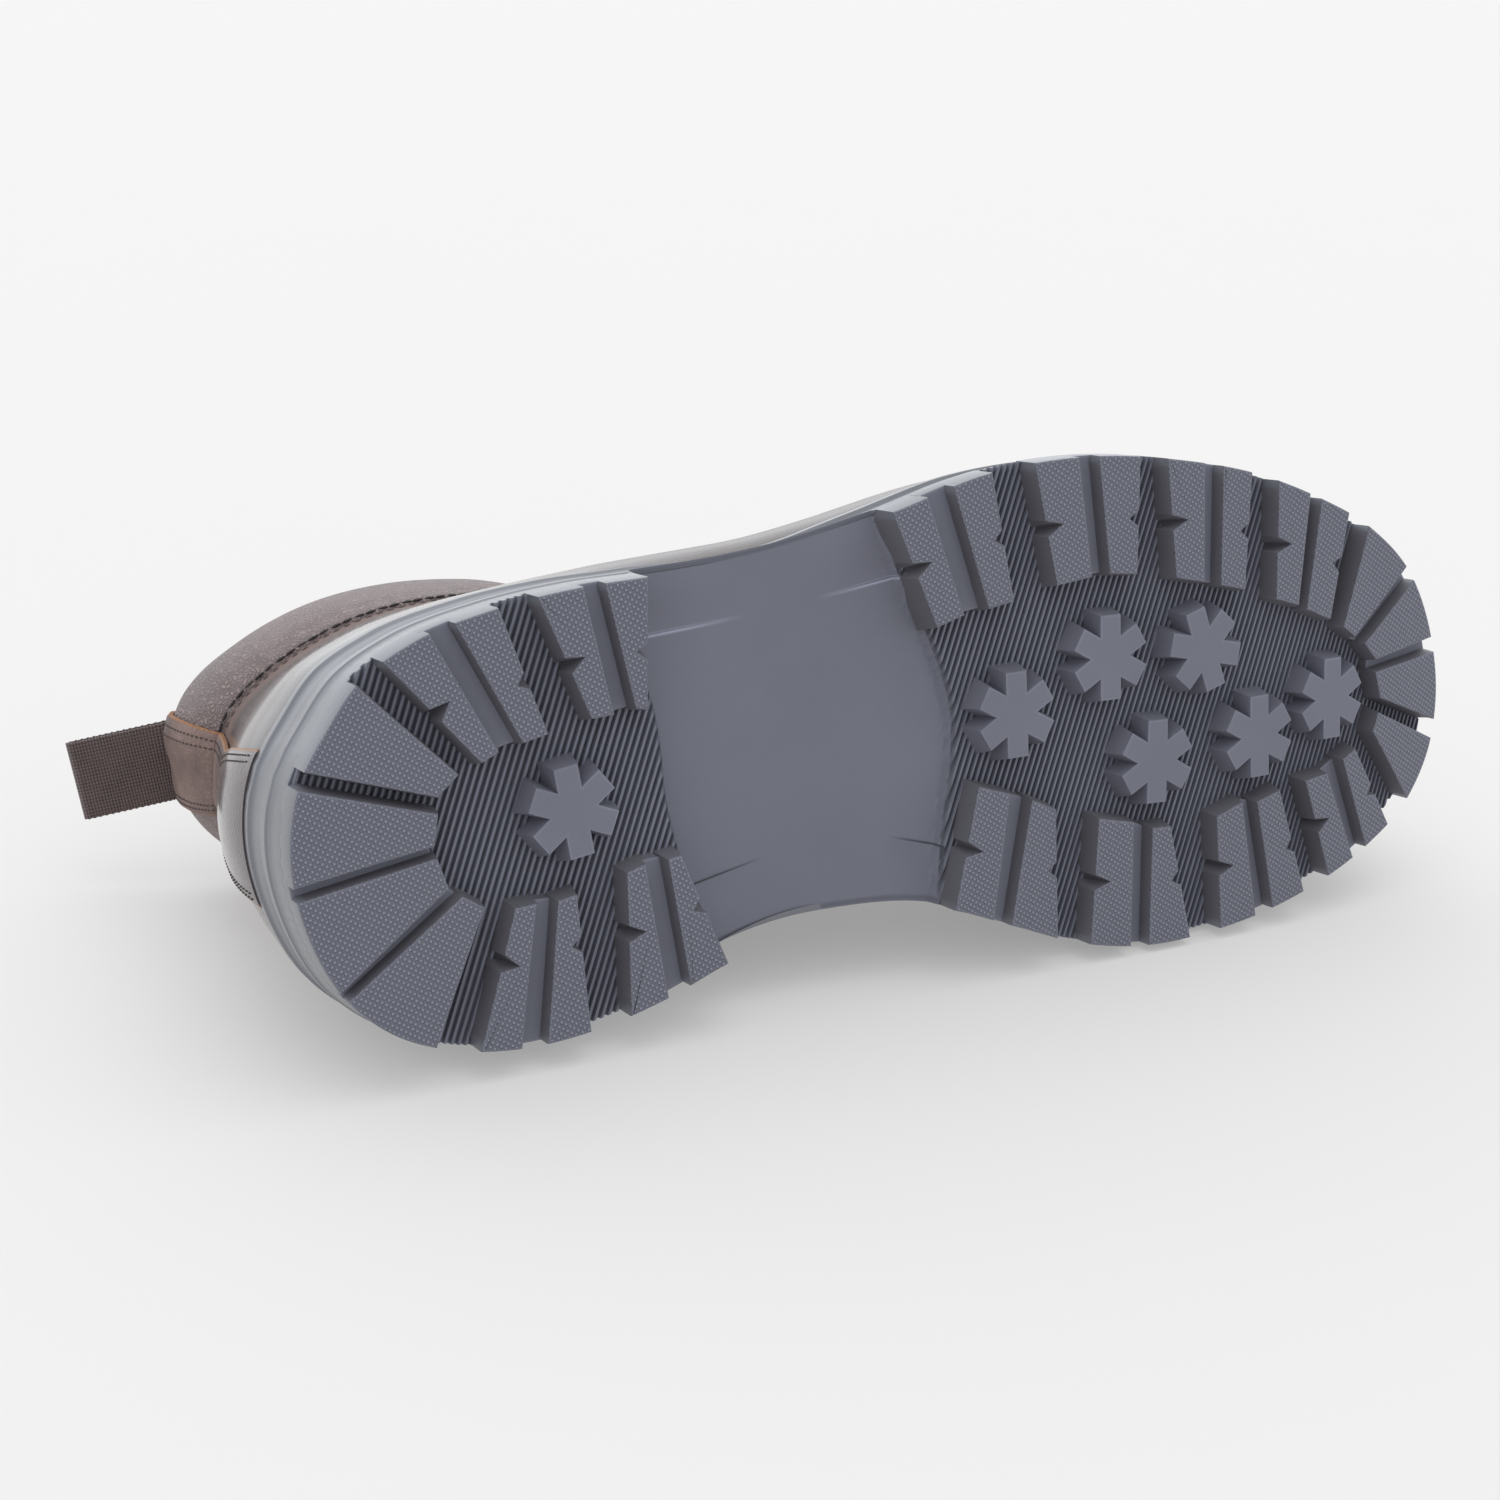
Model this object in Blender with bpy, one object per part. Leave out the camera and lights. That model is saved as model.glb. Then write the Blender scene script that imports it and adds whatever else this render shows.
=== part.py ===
"""Lace-up ankle boot for the right foot, lying on its inner side with the sole upright."""
import math

import bmesh
import bpy
import numpy as np
from mathutils import Matrix, Vector

# Boot frame in millimetres: x from the back of the heel to the toe, y to the inner side, z up from the tread.
MM = 0.001
GAP = 0.3

# Sole plan. Columns: x, y. From the back of the heel to the toe, first the outer edge, then the inner edge.
OUTER_EDGE = (
    (-1.0, 11.0), (1.5, -4.0), (7.5, -15.5), (15.0, -24.5), (27.0, -32.0), (46.0, -38.0), (66.0, -41.5),
    (83.0, -43.0), (112.0, -46.5), (141.0, -54.0), (167.0, -62.0), (196.0, -65.2), (222.0, -63.5),
    (244.0, -59.7), (264.0, -53.3), (284.0, -44.3), (300.0, -31.5), (309.5, -14.0), (312.5, 2.0),
)
INNER_EDGE = (
    (2.5, 29.0), (10.0, 43.0), (21.0, 52.5), (34.0, 57.5), (49.0, 59.3), (66.0, 57.7), (84.0, 52.8),
    (100.0, 46.3), (114.0, 42.0), (134.0, 39.5), (157.0, 40.3), (177.0, 46.8), (197.0, 53.5),
    (216.0, 56.2), (240.0, 54.3), (266.0, 48.0), (287.0, 39.2), (302.5, 28.5), (310.5, 15.5),
)
EDGE_SAMPLES = 1600
X_LOW = -10.0
X_HIGH = 325.0

# Sole heights along the boot. Columns: x, height of the sole's top edge, rise of the tread.
SOLE_HEIGHTS = (
    (-5.0, 30.0, 0.0), (60.0, 29.0, 0.0), (112.0, 25.5, 0.0), (165.0, 21.0, 0.0), (210.0, 19.0, 0.0),
    (235.0, 19.0, 0.0), (262.0, 20.0, 0.9), (288.0, 23.0, 3.6), (316.0, 28.0, 8.3),
)

# Cross rows of the sole's underside. Columns: outer x, middle x, inner x, height over the tread, and the
# number of strips before the row.
LUG_DEPTH = 6.5
WAIST_HEEL = 13.0
WAIST_MIDDLE = 12.0
WAIST_FORE = 8.5
BOTTOM_ROWS = (
    (81.0, 87.5, 102.0, LUG_DEPTH, 9),
    (82.5, 89.0, 103.5, WAIST_HEEL, 1),
    (112.0, 116.0, 124.0, WAIST_MIDDLE, 2),
    (139.0, 159.0, 154.0, WAIST_FORE, 2),
    (140.0, 160.0, 155.0, LUG_DEPTH, 1),
)
FORE_STRIPS = 14
CROSS_POINTS = 4
# Power by which the cross rows crowd together towards the heel and the toe.
ROW_CROWDING = 1.8

# Side of the sole. Columns: share of the sole's height, then millimetres beyond the tread's edge at the heel
# and at the forefoot.
SIDE_PROFILE = (
    (0.49, 0.4, -1.6), (0.52, 1.3, -0.9), (0.58, 1.3, -0.9), (0.61, 0.5, -1.8), (0.88, 0.6, -2.4),
    (0.91, 1.5, -1.6), (1.00, 1.3, -1.8),
)
SIDE_BLEND = (84.0, 128.0)
# The outer side of the heel leans in towards the sole's top. The lean fades out along the waist.
OUTER_LEAN = 2.8
LEAN_FADE = (90.0, 150.0)

# Lugs. Columns: outer corner nearer the heel, outer corner nearer the toe, then the two inner corners, the one
# nearer the toe first.
HEEL_LUGS = (
    (14.0, -24.0, 2.5, -6.5, 31.5, 1.5, 36.3, -3.0),
    (0.5, -3.0, -1.0, 18.0, 30.5, 12.0, 31.5, 5.0),
    (0.0, 21.0, 9.0, 41.5, 33.5, 21.5, 31.0, 14.5),
    (10.5, 43.5, 30.0, 56.0, 41.5, 26.5, 36.5, 23.5),
    (20.0, -28.5, 30.5, -33.5, 45.5, -7.0, 41.5, -5.0),
    (36.0, -35.5, 46.0, -38.0, 57.0, -10.0, 51.0, -8.5),
    (55.0, -39.5, 65.5, -41.5, 72.5, -13.0, 67.0, -12.5),
    (70.5, -42.0, 80.7, -43.0, 80.5, -13.5, 77.5, -14.0),
    (40.0, 58.5, 49.5, 59.5, 53.5, 27.0, 48.5, 27.5),
    (55.5, 58.3, 66.0, 57.5, 63.0, 26.0, 58.5, 27.0),
    (75.5, 55.0, 85.0, 52.5, 79.5, 21.0, 75.0, 22.5),
    (90.5, 50.5, 99.9, 46.1, 88.3, 19.9, 85.0, 20.5),
)
FORE_LUGS = (
    (142.0, -54.0, 151.0, -57.5, 161.5, -29.5, 154.0, -27.0),
    (158.0, -59.0, 168.5, -62.0, 175.0, -32.0, 168.0, -30.5),
    (180.0, -63.5, 192.5, -65.0, 197.0, -36.5, 187.0, -35.0),
    (198.0, -65.0, 210.0, -64.5, 210.0, -36.5, 202.0, -37.0),
    (218.0, -64.0, 229.0, -62.0, 230.0, -33.5, 221.5, -35.0),
    (234.5, -61.5, 243.5, -60.0, 242.5, -31.0, 235.0, -32.5),
    (252.0, -57.5, 262.5, -54.0, 260.0, -26.0, 252.5, -28.0),
    (266.4, -52.3, 276.0, -48.2, 271.0, -21.7, 262.7, -24.8),
    (283.4, -44.7, 298.0, -33.0, 280.0, -16.6, 275.7, -19.4),
    (301.5, -29.7, 309.5, -14.0, 288.0, -10.0, 283.5, -14.5),
    (310.3, -10.0, 312.0, 8.0, 290.2, 0.2, 288.0, -6.8),
    (311.5, 13.0, 303.0, 28.4, 288.0, 8.8, 289.7, 3.8),
    (287.4, 39.4, 295.8, 34.7, 281.8, 12.6, 277.4, 15.0),
    (274.0, 45.5, 282.8, 41.8, 272.0, 18.0, 264.4, 19.2),
    (255.0, 51.0, 265.5, 48.3, 256.0, 20.6, 248.6, 23.0),
    (238.5, 54.5, 249.5, 52.5, 244.0, 22.5, 236.0, 25.5),
    (216.5, 56.2, 229.0, 55.5, 222.0, 26.5, 216.5, 26.5),
    (199.0, 54.0, 211.0, 56.0, 211.0, 24.5, 200.5, 22.5),
    (176.0, 46.5, 189.5, 51.0, 188.0, 19.0, 181.0, 16.0),
    (160.0, 41.0, 171.0, 44.5, 175.0, 14.0, 166.0, 11.5),
)
LUG_DRAFT = 0.9
LUG_ROOT = 1.6
LUG_INSET = 0.35
LUG_RIM_POINTS = 4
NEARLY_STRAIGHT = 0.02

# Star studs. Columns: x, y, angle of the first arm in degrees.
STUDS = (
    (62.6, 7.6, 19.3), (176.4, -4.9, 27.0), (202.8, -16.8, 28.0), (217.4, 9.9, 29.5),
    (231.0, -16.9, 10.0), (248.7, 6.2, 27.0), (272.7, -1.4, 28.0),
)
STUD_ARMS = 6
STUD_ARM_WIDTH = 5.9
STUD_RADIUS = 10.8
STUD_DRAFT = 1.1

# Sections of the upper from the toe to the back of the heel. Columns: foot x on the outer and the inner side,
# top edge x, its outer y, inner y and z, then how far the wall swells out on the outer and the inner side and
# rises from the sole, and how far the handle at the top edge reaches out towards the foot and drops.
UPPER_SECTIONS = (
    (312.0, 312.0, 191.0, -4.0, -4.0, 88.0, 4.0, 4.0, 44.0, 52.0, 16.0),
    (299.0, 301.0, 190.0, -9.5, 1.5, 88.3, 3.5, 3.5, 41.0, 49.0, 16.0),
    (279.0, 278.0, 187.0, -13.0, 5.0, 89.5, 3.0, 3.0, 37.0, 43.0, 15.5),
    (240.0, 238.0, 178.0, -16.5, 8.5, 93.5, 2.0, 2.0, 31.0, 35.0, 15.0),
    (203.0, 203.0, 163.0, -18.5, 11.0, 100.5, 1.0, 1.5, 27.0, 27.0, 17.0),
    (167.0, 168.0, 143.0, -20.0, 14.5, 109.0, 0.0, 4.0, 24.0, 17.0, 22.0),
    (138.0, 140.0, 122.0, -20.5, 20.0, 114.5, 4.0, 7.0, 22.0, 7.0, 27.0),
    (110.0, 114.0, 104.0, -24.0, 30.0, 104.0, 9.0, 5.0, 20.0, 3.0, 26.0),
    (84.0, 86.0, 84.0, -28.0, 37.5, 96.0, 4.5, 1.0, 19.0, 2.0, 25.0),
    (62.0, 62.0, 62.0, -28.4, 41.0, 91.5, 0.5, -0.5, 18.0, 2.0, 25.0),
    (38.0, 38.0, 41.0, -24.0, 39.5, 90.0, 0.5, 0.5, 18.0, 2.0, 25.0),
    (17.0, 18.0, 23.5, -14.8, 33.0, 90.3, 2.0, 2.0, 18.0, 2.0, 25.0),
    (4.0, 5.0, 12.0, -3.5, 23.5, 91.5, 3.5, 3.5, 18.0, 2.5, 26.0),
    (-1.0, -1.0, 9.0, 12.3, 12.3, 92.5, 5.0, 5.0, 18.0, 3.0, 27.0),
)
FEATHER_INSET = 1.2
# How strongly the handle at the top edge follows the sole's own outward direction.
TOP_TURN = 6.0
# Line inside the foot that tells the outer face from the inner: least x, greatest x, y, z.
FOOT_LINE = (40.0, 240.0, -2.0, 45.0)
UPPER_WALL = 2.0
UPPER_ROUND = 76
UPPER_STEPS = 11
# Steps over which directions on the upper are measured.
WALK_STEP = 3.0
UP_STEP = 0.02
VAMP_SECTION = 2
THROAT_SECTION = 6
HEEL_SECTION = 13

# Section of the padded collar. Columns: millimetres out from the seam, share of the collar's height.
COLLAR_SECTION = (
    (0.0, 0.0), (3.0, 0.16), (4.6, 0.42), (4.2, 0.70), (1.6, 0.93), (-2.0, 1.00), (-5.5, 0.92),
    (-8.0, 0.68), (-8.4, 0.38), (-6.6, 0.14), (-3.2, 0.0),
)
COLLAR_HEIGHT = 33.0
COLLAR_FRONT_HEIGHT = 17.0
COLLAR_ROUND = 44
# Line through the middle of the ankle opening: least x, greatest x, y.
ANKLE_LINE = (45.0, 90.0, 6.0)
# Padding round the collar. Columns: share of the way from the back to the throat, below zero on the outer side,
# then the swell of the padding's outer and inner face.
COLLAR_PADDING = (
    (-1.0, 0.40, 0.6), (-0.70, 0.42, 0.9), (-0.50, 0.52, 1.0), (-0.34, 0.82, 1.0), (-0.16, 1.20, 1.0),
    (-0.07, 1.50, 0.95), (0.0, 0.95, 0.85), (0.08, 0.85, 0.95), (0.20, 0.90, 1.0), (0.45, 0.85, 1.0),
    (0.70, 0.72, 0.9), (1.0, 0.60, 0.6),
)

# Strip up the back seam. Columns: share of the way up the back, half width.
STRIP_WIDTHS = ((0.0, 17.5), (0.3, 15.0), (0.5, 12.3), (0.78, 9.4), (1.0, 9.6))
STRIP_HALF = STRIP_WIDTHS[-1][1]
STRIP_THICK = 1.3
STRIP_ACROSS = 6
STRIP_UPPER_ROWS = 9
STRIP_COLLAR_ROWS = 5
STRIP_FOOT = 0.02
STRIP_TOP_TILT = 0.9

# Pull loop of flat tape.
LOOP_WIDTH = 20.0
LOOP_LENGTH = 25.0
LOOP_RISE = 7.0
LOOP_TURN = 11.0
LOOP_TAPE = 1.2
LOOP_OPEN = 1.6
LOOP_BEND_STEPS = 6
# Where the loop's lower tape starts, out and up from the top of the collar's padding under the strip.
LOOP_OUT = 0.5
LOOP_LIFT = 1.3
LOOP_ROWS = 4

# Footbed.
INSOLE_THICK = 3.0
INSOLE_ACROSS = 3
INSOLE_STEP = 6.0
INSOLE_INSET = UPPER_WALL + FEATHER_INSET + 1.4

# Tongue under the throat.
TONGUE_THICK = 3.0
TONGUE_CLEAR = 1.3
TONGUE_CROWN = 2.0
TONGUE_ROWS = 9
TONGUE_LINES = (0.90, 0.95, 1.0)
VAMP_SPAN = (0.88, 1.0)
TONGUE_FORWARD = 14.0
TONGUE_DROP = 3.2
# Free end of the tongue. Columns: distance past the throat, half width.
TONGUE_END = ((11.0, 14.0), (24.0, 13.5), (36.0, 12.5))
TONGUE_TURN = (0.45, 0.9)

# Facings, eyelets and lace.
FACING_SEAT = 0.62
FACING_THICK = 1.2
FACING_WIDTH = 17.0
FACING_ROWS = 9
FACING_STEPS = 3
EYELET_PAIRS = 5
EYELET_OUTER = 4.2
EYELET_INNER = 2.3
EYELET_THICK = 1.0
EYELET_BEVEL = 0.4
EYELET_FROM_EDGE = 9.0
EYELET_SEGMENTS = 12
ACROSS_BOOT = (0.3, 1.0, 0.2)
OVER_INSTEP = (0.35, 0.1, 1.0)
LACE_RADIUS = 1.5
LACE_HEIGHT = 4.95
LACE_START_FROM_EDGE = 3.0
# Where a run leaves one throat edge and meets the other, as shares of the step between eyelets.
LACE_START = (0.50, 0.53)
LACE_END = 0.08
LACE_SIDES = 8
LACE_STEPS = 8

# Rest pose in degrees: turn about the long axis, then a small turn that brings the heel, the ball and the
# collar to the floor together.
REST_ROLL = -100.24
REST_PITCH = 2.51

# Colours. Columns: red, green, blue, roughness, metallic.
FINISHES = {
    "sole_rubber": (0.125, 0.135, 0.162, 0.62, 0.0),
    "brown_leather": (0.085, 0.050, 0.036, 0.38, 0.0),
    "collar_leather": (0.155, 0.118, 0.104, 0.60, 0.0),
    "strip_leather": (0.150, 0.095, 0.066, 0.52, 0.0),
    "tape": (0.052, 0.040, 0.037, 0.85, 0.0),
    "lining": (0.110, 0.085, 0.072, 0.85, 0.0),
    "lace_cord": (0.055, 0.036, 0.028, 0.80, 0.0),
    "eyelet_metal": (0.220, 0.190, 0.160, 0.35, 1.0),
}


def clear_scene():
    for item in list(bpy.data.objects):
        bpy.data.objects.remove(item, do_unlink=True)


def collection(name, hidden=False):
    group = bpy.data.collections.new(name)
    bpy.context.scene.collection.children.link(group)
    group.hide_render = hidden
    return group


def finish(name):
    red, green, blue, rough, metal = FINISHES[name]
    material = bpy.data.materials.new(name)
    material.use_nodes = True
    shader = material.node_tree.nodes["Principled BSDF"]
    shader.inputs["Base Color"].default_value = (red, green, blue, 1.0)
    shader.inputs["Roughness"].default_value = rough
    shader.inputs["Metallic"].default_value = metal
    material.diffuse_color = (red, green, blue, 1.0)
    return material


def unit(vectors):
    return vectors / np.linalg.norm(vectors, axis=-1, keepdims=True)


def smooth(at, knots, values):
    """Cubic curve through the knots with slopes that never overshoot."""
    knots = np.asarray(knots, float)
    values = np.asarray(values, float)
    steps = np.diff(knots)
    rates = np.diff(values) / steps
    slopes = np.concatenate([rates[:1], (rates[:-1] + rates[1:]) / 2, rates[-1:]])
    flat = rates[:-1] * rates[1:] <= 0
    slopes[1:-1][flat] = 0.0
    cell = np.clip(np.searchsorted(knots, at, side="right") - 1, 0, len(steps) - 1)
    t = np.clip((at - knots[cell]) / steps[cell], 0.0, 1.0)
    h = steps[cell]
    rise = values[cell + 1] - values[cell]
    return (values[cell] + t * h * slopes[cell]
            + t * t * (3 * rise - h * (2 * slopes[cell] + slopes[cell + 1]))
            + t ** 3 * (h * (slopes[cell] + slopes[cell + 1]) - 2 * rise))


def ring_curve(rows, knots, period, at):
    """Closed cubic curve through rows placed at knots round a loop of the given period."""
    rows = np.asarray(rows, float)
    span = np.diff(np.append(knots, knots[0] + period))
    ahead = (np.roll(rows, -1, axis=0) - rows) / span[:, None]
    before = np.roll(ahead, 1, axis=0)
    span_before = np.roll(span, 1)
    slope = (ahead * span_before[:, None] + before * span[:, None]) / (span + span_before)[:, None]
    at = np.mod(np.asarray(at, float) - knots[0], period) + knots[0]
    cell = np.clip(np.searchsorted(knots, at, side="right") - 1, 0, len(knots) - 1)
    following = (cell + 1) % len(knots)
    h = span[cell]
    t = ((at - knots[cell]) / h)[..., None]
    h = h[..., None]
    rise = rows[following] - rows[cell]
    return (rows[cell] + t * h * slope[cell]
            + t * t * (3 * rise - h * (2 * slope[cell] + slope[following]))
            + t ** 3 * (h * (slope[cell] + slope[following]) - 2 * rise))


class SolePlan:
    """Closed outline of the sole, walked along the outer edge to the toe and back along the inner edge."""

    def __init__(self):
        corners = np.array(OUTER_EDGE + INNER_EDGE[::-1])
        chords = np.linalg.norm(np.roll(corners, -1, axis=0) - corners, axis=1)
        knots = np.concatenate([[0.0], np.cumsum(chords)[:-1]])
        self.length = chords.sum()
        self.walk = np.arange(EDGE_SAMPLES) * self.length / EDGE_SAMPLES
        self.points = ring_curve(corners, knots, self.length, self.walk)
        along = unit(np.roll(self.points, -1, axis=0) - np.roll(self.points, 1, axis=0))
        self.outward = np.stack([along[:, 1], -along[:, 0]], axis=1)
        if np.sum(self.outward * (self.points - self.points.mean(axis=0))) < 0:
            self.outward = -self.outward
        self.heel = int(np.argmin(self.points[:, 0]))
        self.toe = int(np.argmax(self.points[:, 0]))

    def side(self, outer):
        """Sample numbers from the heel to the toe along one side."""
        if outer:
            return np.arange(self.heel, self.toe + 1)
        return np.arange(self.heel + EDGE_SAMPLES, self.toe - 1, -1) % EDGE_SAMPLES

    def index(self, x, outer):
        """Sample numbers at the given x on one side."""
        run = self.side(outer)
        order = np.interp(x, np.maximum.accumulate(self.points[run, 0]), np.arange(len(run)))
        return run[np.rint(order).astype(int)]

    def nearest(self, x, y):
        return int(np.argmin(np.hypot(self.points[:, 0] - x, self.points[:, 1] - y)))

    def between(self, first, last, count):
        """Sample numbers from first to last by the shorter way round."""
        step = (last - first + EDGE_SAMPLES // 2) % EDGE_SAMPLES - EDGE_SAMPLES // 2
        return (first + np.rint(np.linspace(0, step, count)).astype(int)) % EDGE_SAMPLES

    def inset(self, index, distance):
        """Points inside the tread's edge."""
        return self.points[index] - self.outward[index] * distance

    def shelf(self, index, distance):
        """Points inside the edge of the sole's top."""
        beyond = self.beyond(index, *SIDE_PROFILE[-1])[..., None]
        return self.points[index] + self.outward[index] * (beyond - distance)

    def beyond(self, index, share, heel, fore):
        """Distance of the sole's side beyond the tread's edge at a share of the sole's height."""
        x = self.points[index][..., 0]
        plain = smooth(x, (X_LOW,) + SIDE_BLEND + (X_HIGH,), (heel, heel, fore, fore))
        facing_out = np.maximum(-self.outward[index][..., 1], 0.0) ** 2
        fade = smooth(x, (X_LOW,) + LEAN_FADE + (X_HIGH,), (1.0, 1.0, 0.0, 0.0))
        return plain - OUTER_LEAN * share * facing_out * fade


def sole_top(x):
    knots, tops, _ = zip(*SOLE_HEIGHTS)
    return smooth(x, knots, tops)


def tread_rise(x):
    knots, _, rises = zip(*SOLE_HEIGHTS)
    return smooth(x, knots, rises)


def new_object(name, verts, faces, material, group, shade=True):
    """One object from points in millimetres and faces, turned outwards."""
    mesh = bpy.data.meshes.new(name)
    mesh.from_pydata([tuple(point) for point in np.asarray(verts, float) * MM], [], faces)
    shell = bmesh.new()
    shell.from_mesh(mesh)
    bmesh.ops.recalc_face_normals(shell, faces=shell.faces)
    if shell.calc_volume(signed=True) < 0:
        bmesh.ops.reverse_faces(shell, faces=shell.faces)
    shell.to_mesh(mesh)
    shell.free()
    for polygon in mesh.polygons:
        polygon.use_smooth = shade
    mesh.materials.append(material)
    item = bpy.data.objects.new(name, mesh)
    group.objects.link(item)
    return item


def grid_faces(rows, columns, start=0, close_rows=False, close_columns=False):
    """Quads of a grid of points numbered row by row."""
    faces = []
    for row in range(rows if close_rows else rows - 1):
        for column in range(columns if close_columns else columns - 1):
            a = row * columns + column
            b = row * columns + (column + 1) % columns
            c = (row + 1) % rows * columns + (column + 1) % columns
            d = (row + 1) % rows * columns + column
            faces.append((start + a, start + b, start + c, start + d))
    return faces


def sheet_solid(near, far):
    """Closed plate between two grids of points of the same size."""
    rows, columns = near.shape[:2]
    count = rows * columns
    faces = grid_faces(rows, columns) + [face[::-1] for face in grid_faces(rows, columns, count)]
    border = ([(0, c) for c in range(columns)] + [(r, columns - 1) for r in range(1, rows)]
              + [(rows - 1, c) for c in range(columns - 2, -1, -1)]
              + [(r, 0) for r in range(rows - 2, 0, -1)])
    rim = [r * columns + c for r, c in border]
    for a, b in zip(rim, rim[1:] + rim[:1]):
        faces.append((b, a, a + count, b + count))
    return np.concatenate([near.reshape(-1, 3), far.reshape(-1, 3)]), faces


def offset_ring(corners, distances):
    """Polygon with each edge moved outwards by its own distance. Edge i starts at corner i."""
    following = np.roll(corners, -1, axis=0)
    along = unit(following - corners)
    area = np.sum(corners[:, 0] * following[:, 1] - following[:, 0] * corners[:, 1])
    out = np.stack([along[:, 1], -along[:, 0]], axis=1) * np.sign(area)
    moved = corners + out * np.asarray(distances)[:, None]
    result = []
    for i in range(len(corners)):
        h = i - 1
        cross = along[h, 0] * along[i, 1] - along[h, 1] * along[i, 0]
        if abs(cross) < NEARLY_STRAIGHT:
            result.append(corners[i] + out[i] * distances[i])
            continue
        gap = moved[i] - moved[h]
        t = (gap[0] * along[i, 1] - gap[1] * along[i, 0]) / cross
        result.append(moved[h] + along[h] * t)
    return np.array(result)


def prism(crown, foot, depth):
    """Points and faces of a drafted block standing on the tread plane and rooted in the sole."""
    count = len(crown)
    low = np.column_stack([crown, tread_rise(crown[:, 0])])
    high = np.column_stack([foot, tread_rise(foot[:, 0]) + depth])
    faces = [tuple(range(count)), tuple(range(2 * count - 1, count - 1, -1))]
    for a in range(count):
        b = (a + 1) % count
        faces.append((a, a + count, b + count, b))
    return np.concatenate([low, high]), faces


def lug_block(plan, row):
    outer_a, outer_b = plan.nearest(*row[0:2]), plan.nearest(*row[2:4])
    rim = plan.inset(plan.between(outer_a, outer_b, LUG_RIM_POINTS), LUG_INSET)
    crown = np.concatenate([rim, [row[4:6]], [row[6:8]]])
    foot = offset_ring(crown, [0.0] * (LUG_RIM_POINTS - 1) + [LUG_DRAFT] * 3)
    return prism(crown, foot, LUG_DEPTH + LUG_ROOT)


def stud_block(row):
    x, y, turn = row
    corners = []
    tip = math.sqrt(STUD_RADIUS ** 2 - (STUD_ARM_WIDTH / 2) ** 2)
    for arm in range(STUD_ARMS):
        angle = math.radians(turn) + arm * 2 * math.pi / STUD_ARMS
        along = np.array([math.cos(angle), math.sin(angle)])
        across = np.array([-along[1], along[0]])
        notch = angle + math.pi / STUD_ARMS
        reach = STUD_ARM_WIDTH / 2 / math.sin(math.pi / STUD_ARMS)
        corners.append(along * tip - across * STUD_ARM_WIDTH / 2)
        corners.append(along * tip + across * STUD_ARM_WIDTH / 2)
        corners.append(np.array([math.cos(notch), math.sin(notch)]) * reach)
    crown = np.array(corners) + (x, y)
    foot = offset_ring(crown, [STUD_DRAFT] * len(crown))
    return prism(crown, foot, LUG_DEPTH + LUG_ROOT)


def bottom_rows(plan):
    """Cross rows of the underside: outer x, middle x, inner x and height, from the heel to the toe."""
    heel = plan.points[plan.heel, 0]
    toe = plan.points[plan.toe, 0]
    rows = []
    start = np.array([heel, heel, heel, LUG_DEPTH])
    for row in BOTTOM_ROWS:
        end = np.array(row[:4])
        for k in range(1, row[4] + 1):
            share = k / row[4]
            share = share ** ROW_CROWDING if start[0] == heel else share
            rows.append(start + (end - start) * share)
        start = end
    end = np.array([toe, toe, toe, LUG_DEPTH])
    for k in range(1, FORE_STRIPS):
        share = 1 - (1 - k / FORE_STRIPS) ** ROW_CROWDING
        rows.append(start + (end - start) * share)
    return np.array(rows)


def sole_body(plan):
    """Sole without lugs: rings of side points closed by a bottom and a top of cross rows."""
    rows = bottom_rows(plan)
    count = len(rows)
    outer = plan.index(rows[:, 0], True)
    inner = plan.index(rows[:, 2], False)
    ring = np.concatenate([[plan.heel], outer, [plan.toe], inner[::-1]])
    base = np.concatenate([[LUG_DEPTH], rows[:, 3], [LUG_DEPTH], rows[::-1, 3]])
    around = len(ring)
    edge, out = plan.points[ring], plan.outward[ring]
    rise, top = tread_rise(edge[:, 0]), sole_top(edge[:, 0])
    rings = [np.column_stack([edge, rise + base])]
    for share, heel, fore in SIDE_PROFILE:
        beyond = plan.beyond(ring, share, heel, fore)[:, None]
        rings.append(np.column_stack([edge + out * beyond, rise + (top - rise) * share]))
    verts = list(np.concatenate(rings))
    faces = grid_faces(len(rings), around, close_columns=True)
    for level, ring_start in ((0, 0), (1, (len(rings) - 1) * around)):
        left = [ring_start + 1 + k for k in range(count)]
        right = [ring_start + around - 1 - k for k in range(count)]
        lines = []
        for k in range(count):
            a, b = verts[left[k]], verts[right[k]]
            line = [left[k]]
            for share in np.linspace(0, 1, CROSS_POINTS + 2)[1:-1]:
                bow = 1 - (2 * share - 1) ** 2
                x = a[0] + (b[0] - a[0]) * share + (rows[k, 1] - (a[0] + b[0]) / 2) * bow
                y = a[1] + (b[1] - a[1]) * share
                z = tread_rise(x) + rows[k, 3] if level == 0 else sole_top(x)
                line.append(len(verts))
                verts.append(np.array([x, y, float(z)]))
            lines.append(line + [right[k]])
        for near, far in zip(lines, lines[1:]):
            for a, b, c, d in zip(near, near[1:], far[1:], far):
                faces.append((a, b, c, d))
        for line, tip in ((lines[0], ring_start), (lines[-1], ring_start + count + 1)):
            for a, b in zip(line, line[1:]):
                faces.append((tip, a, b))
    return np.array(verts), faces


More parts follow.
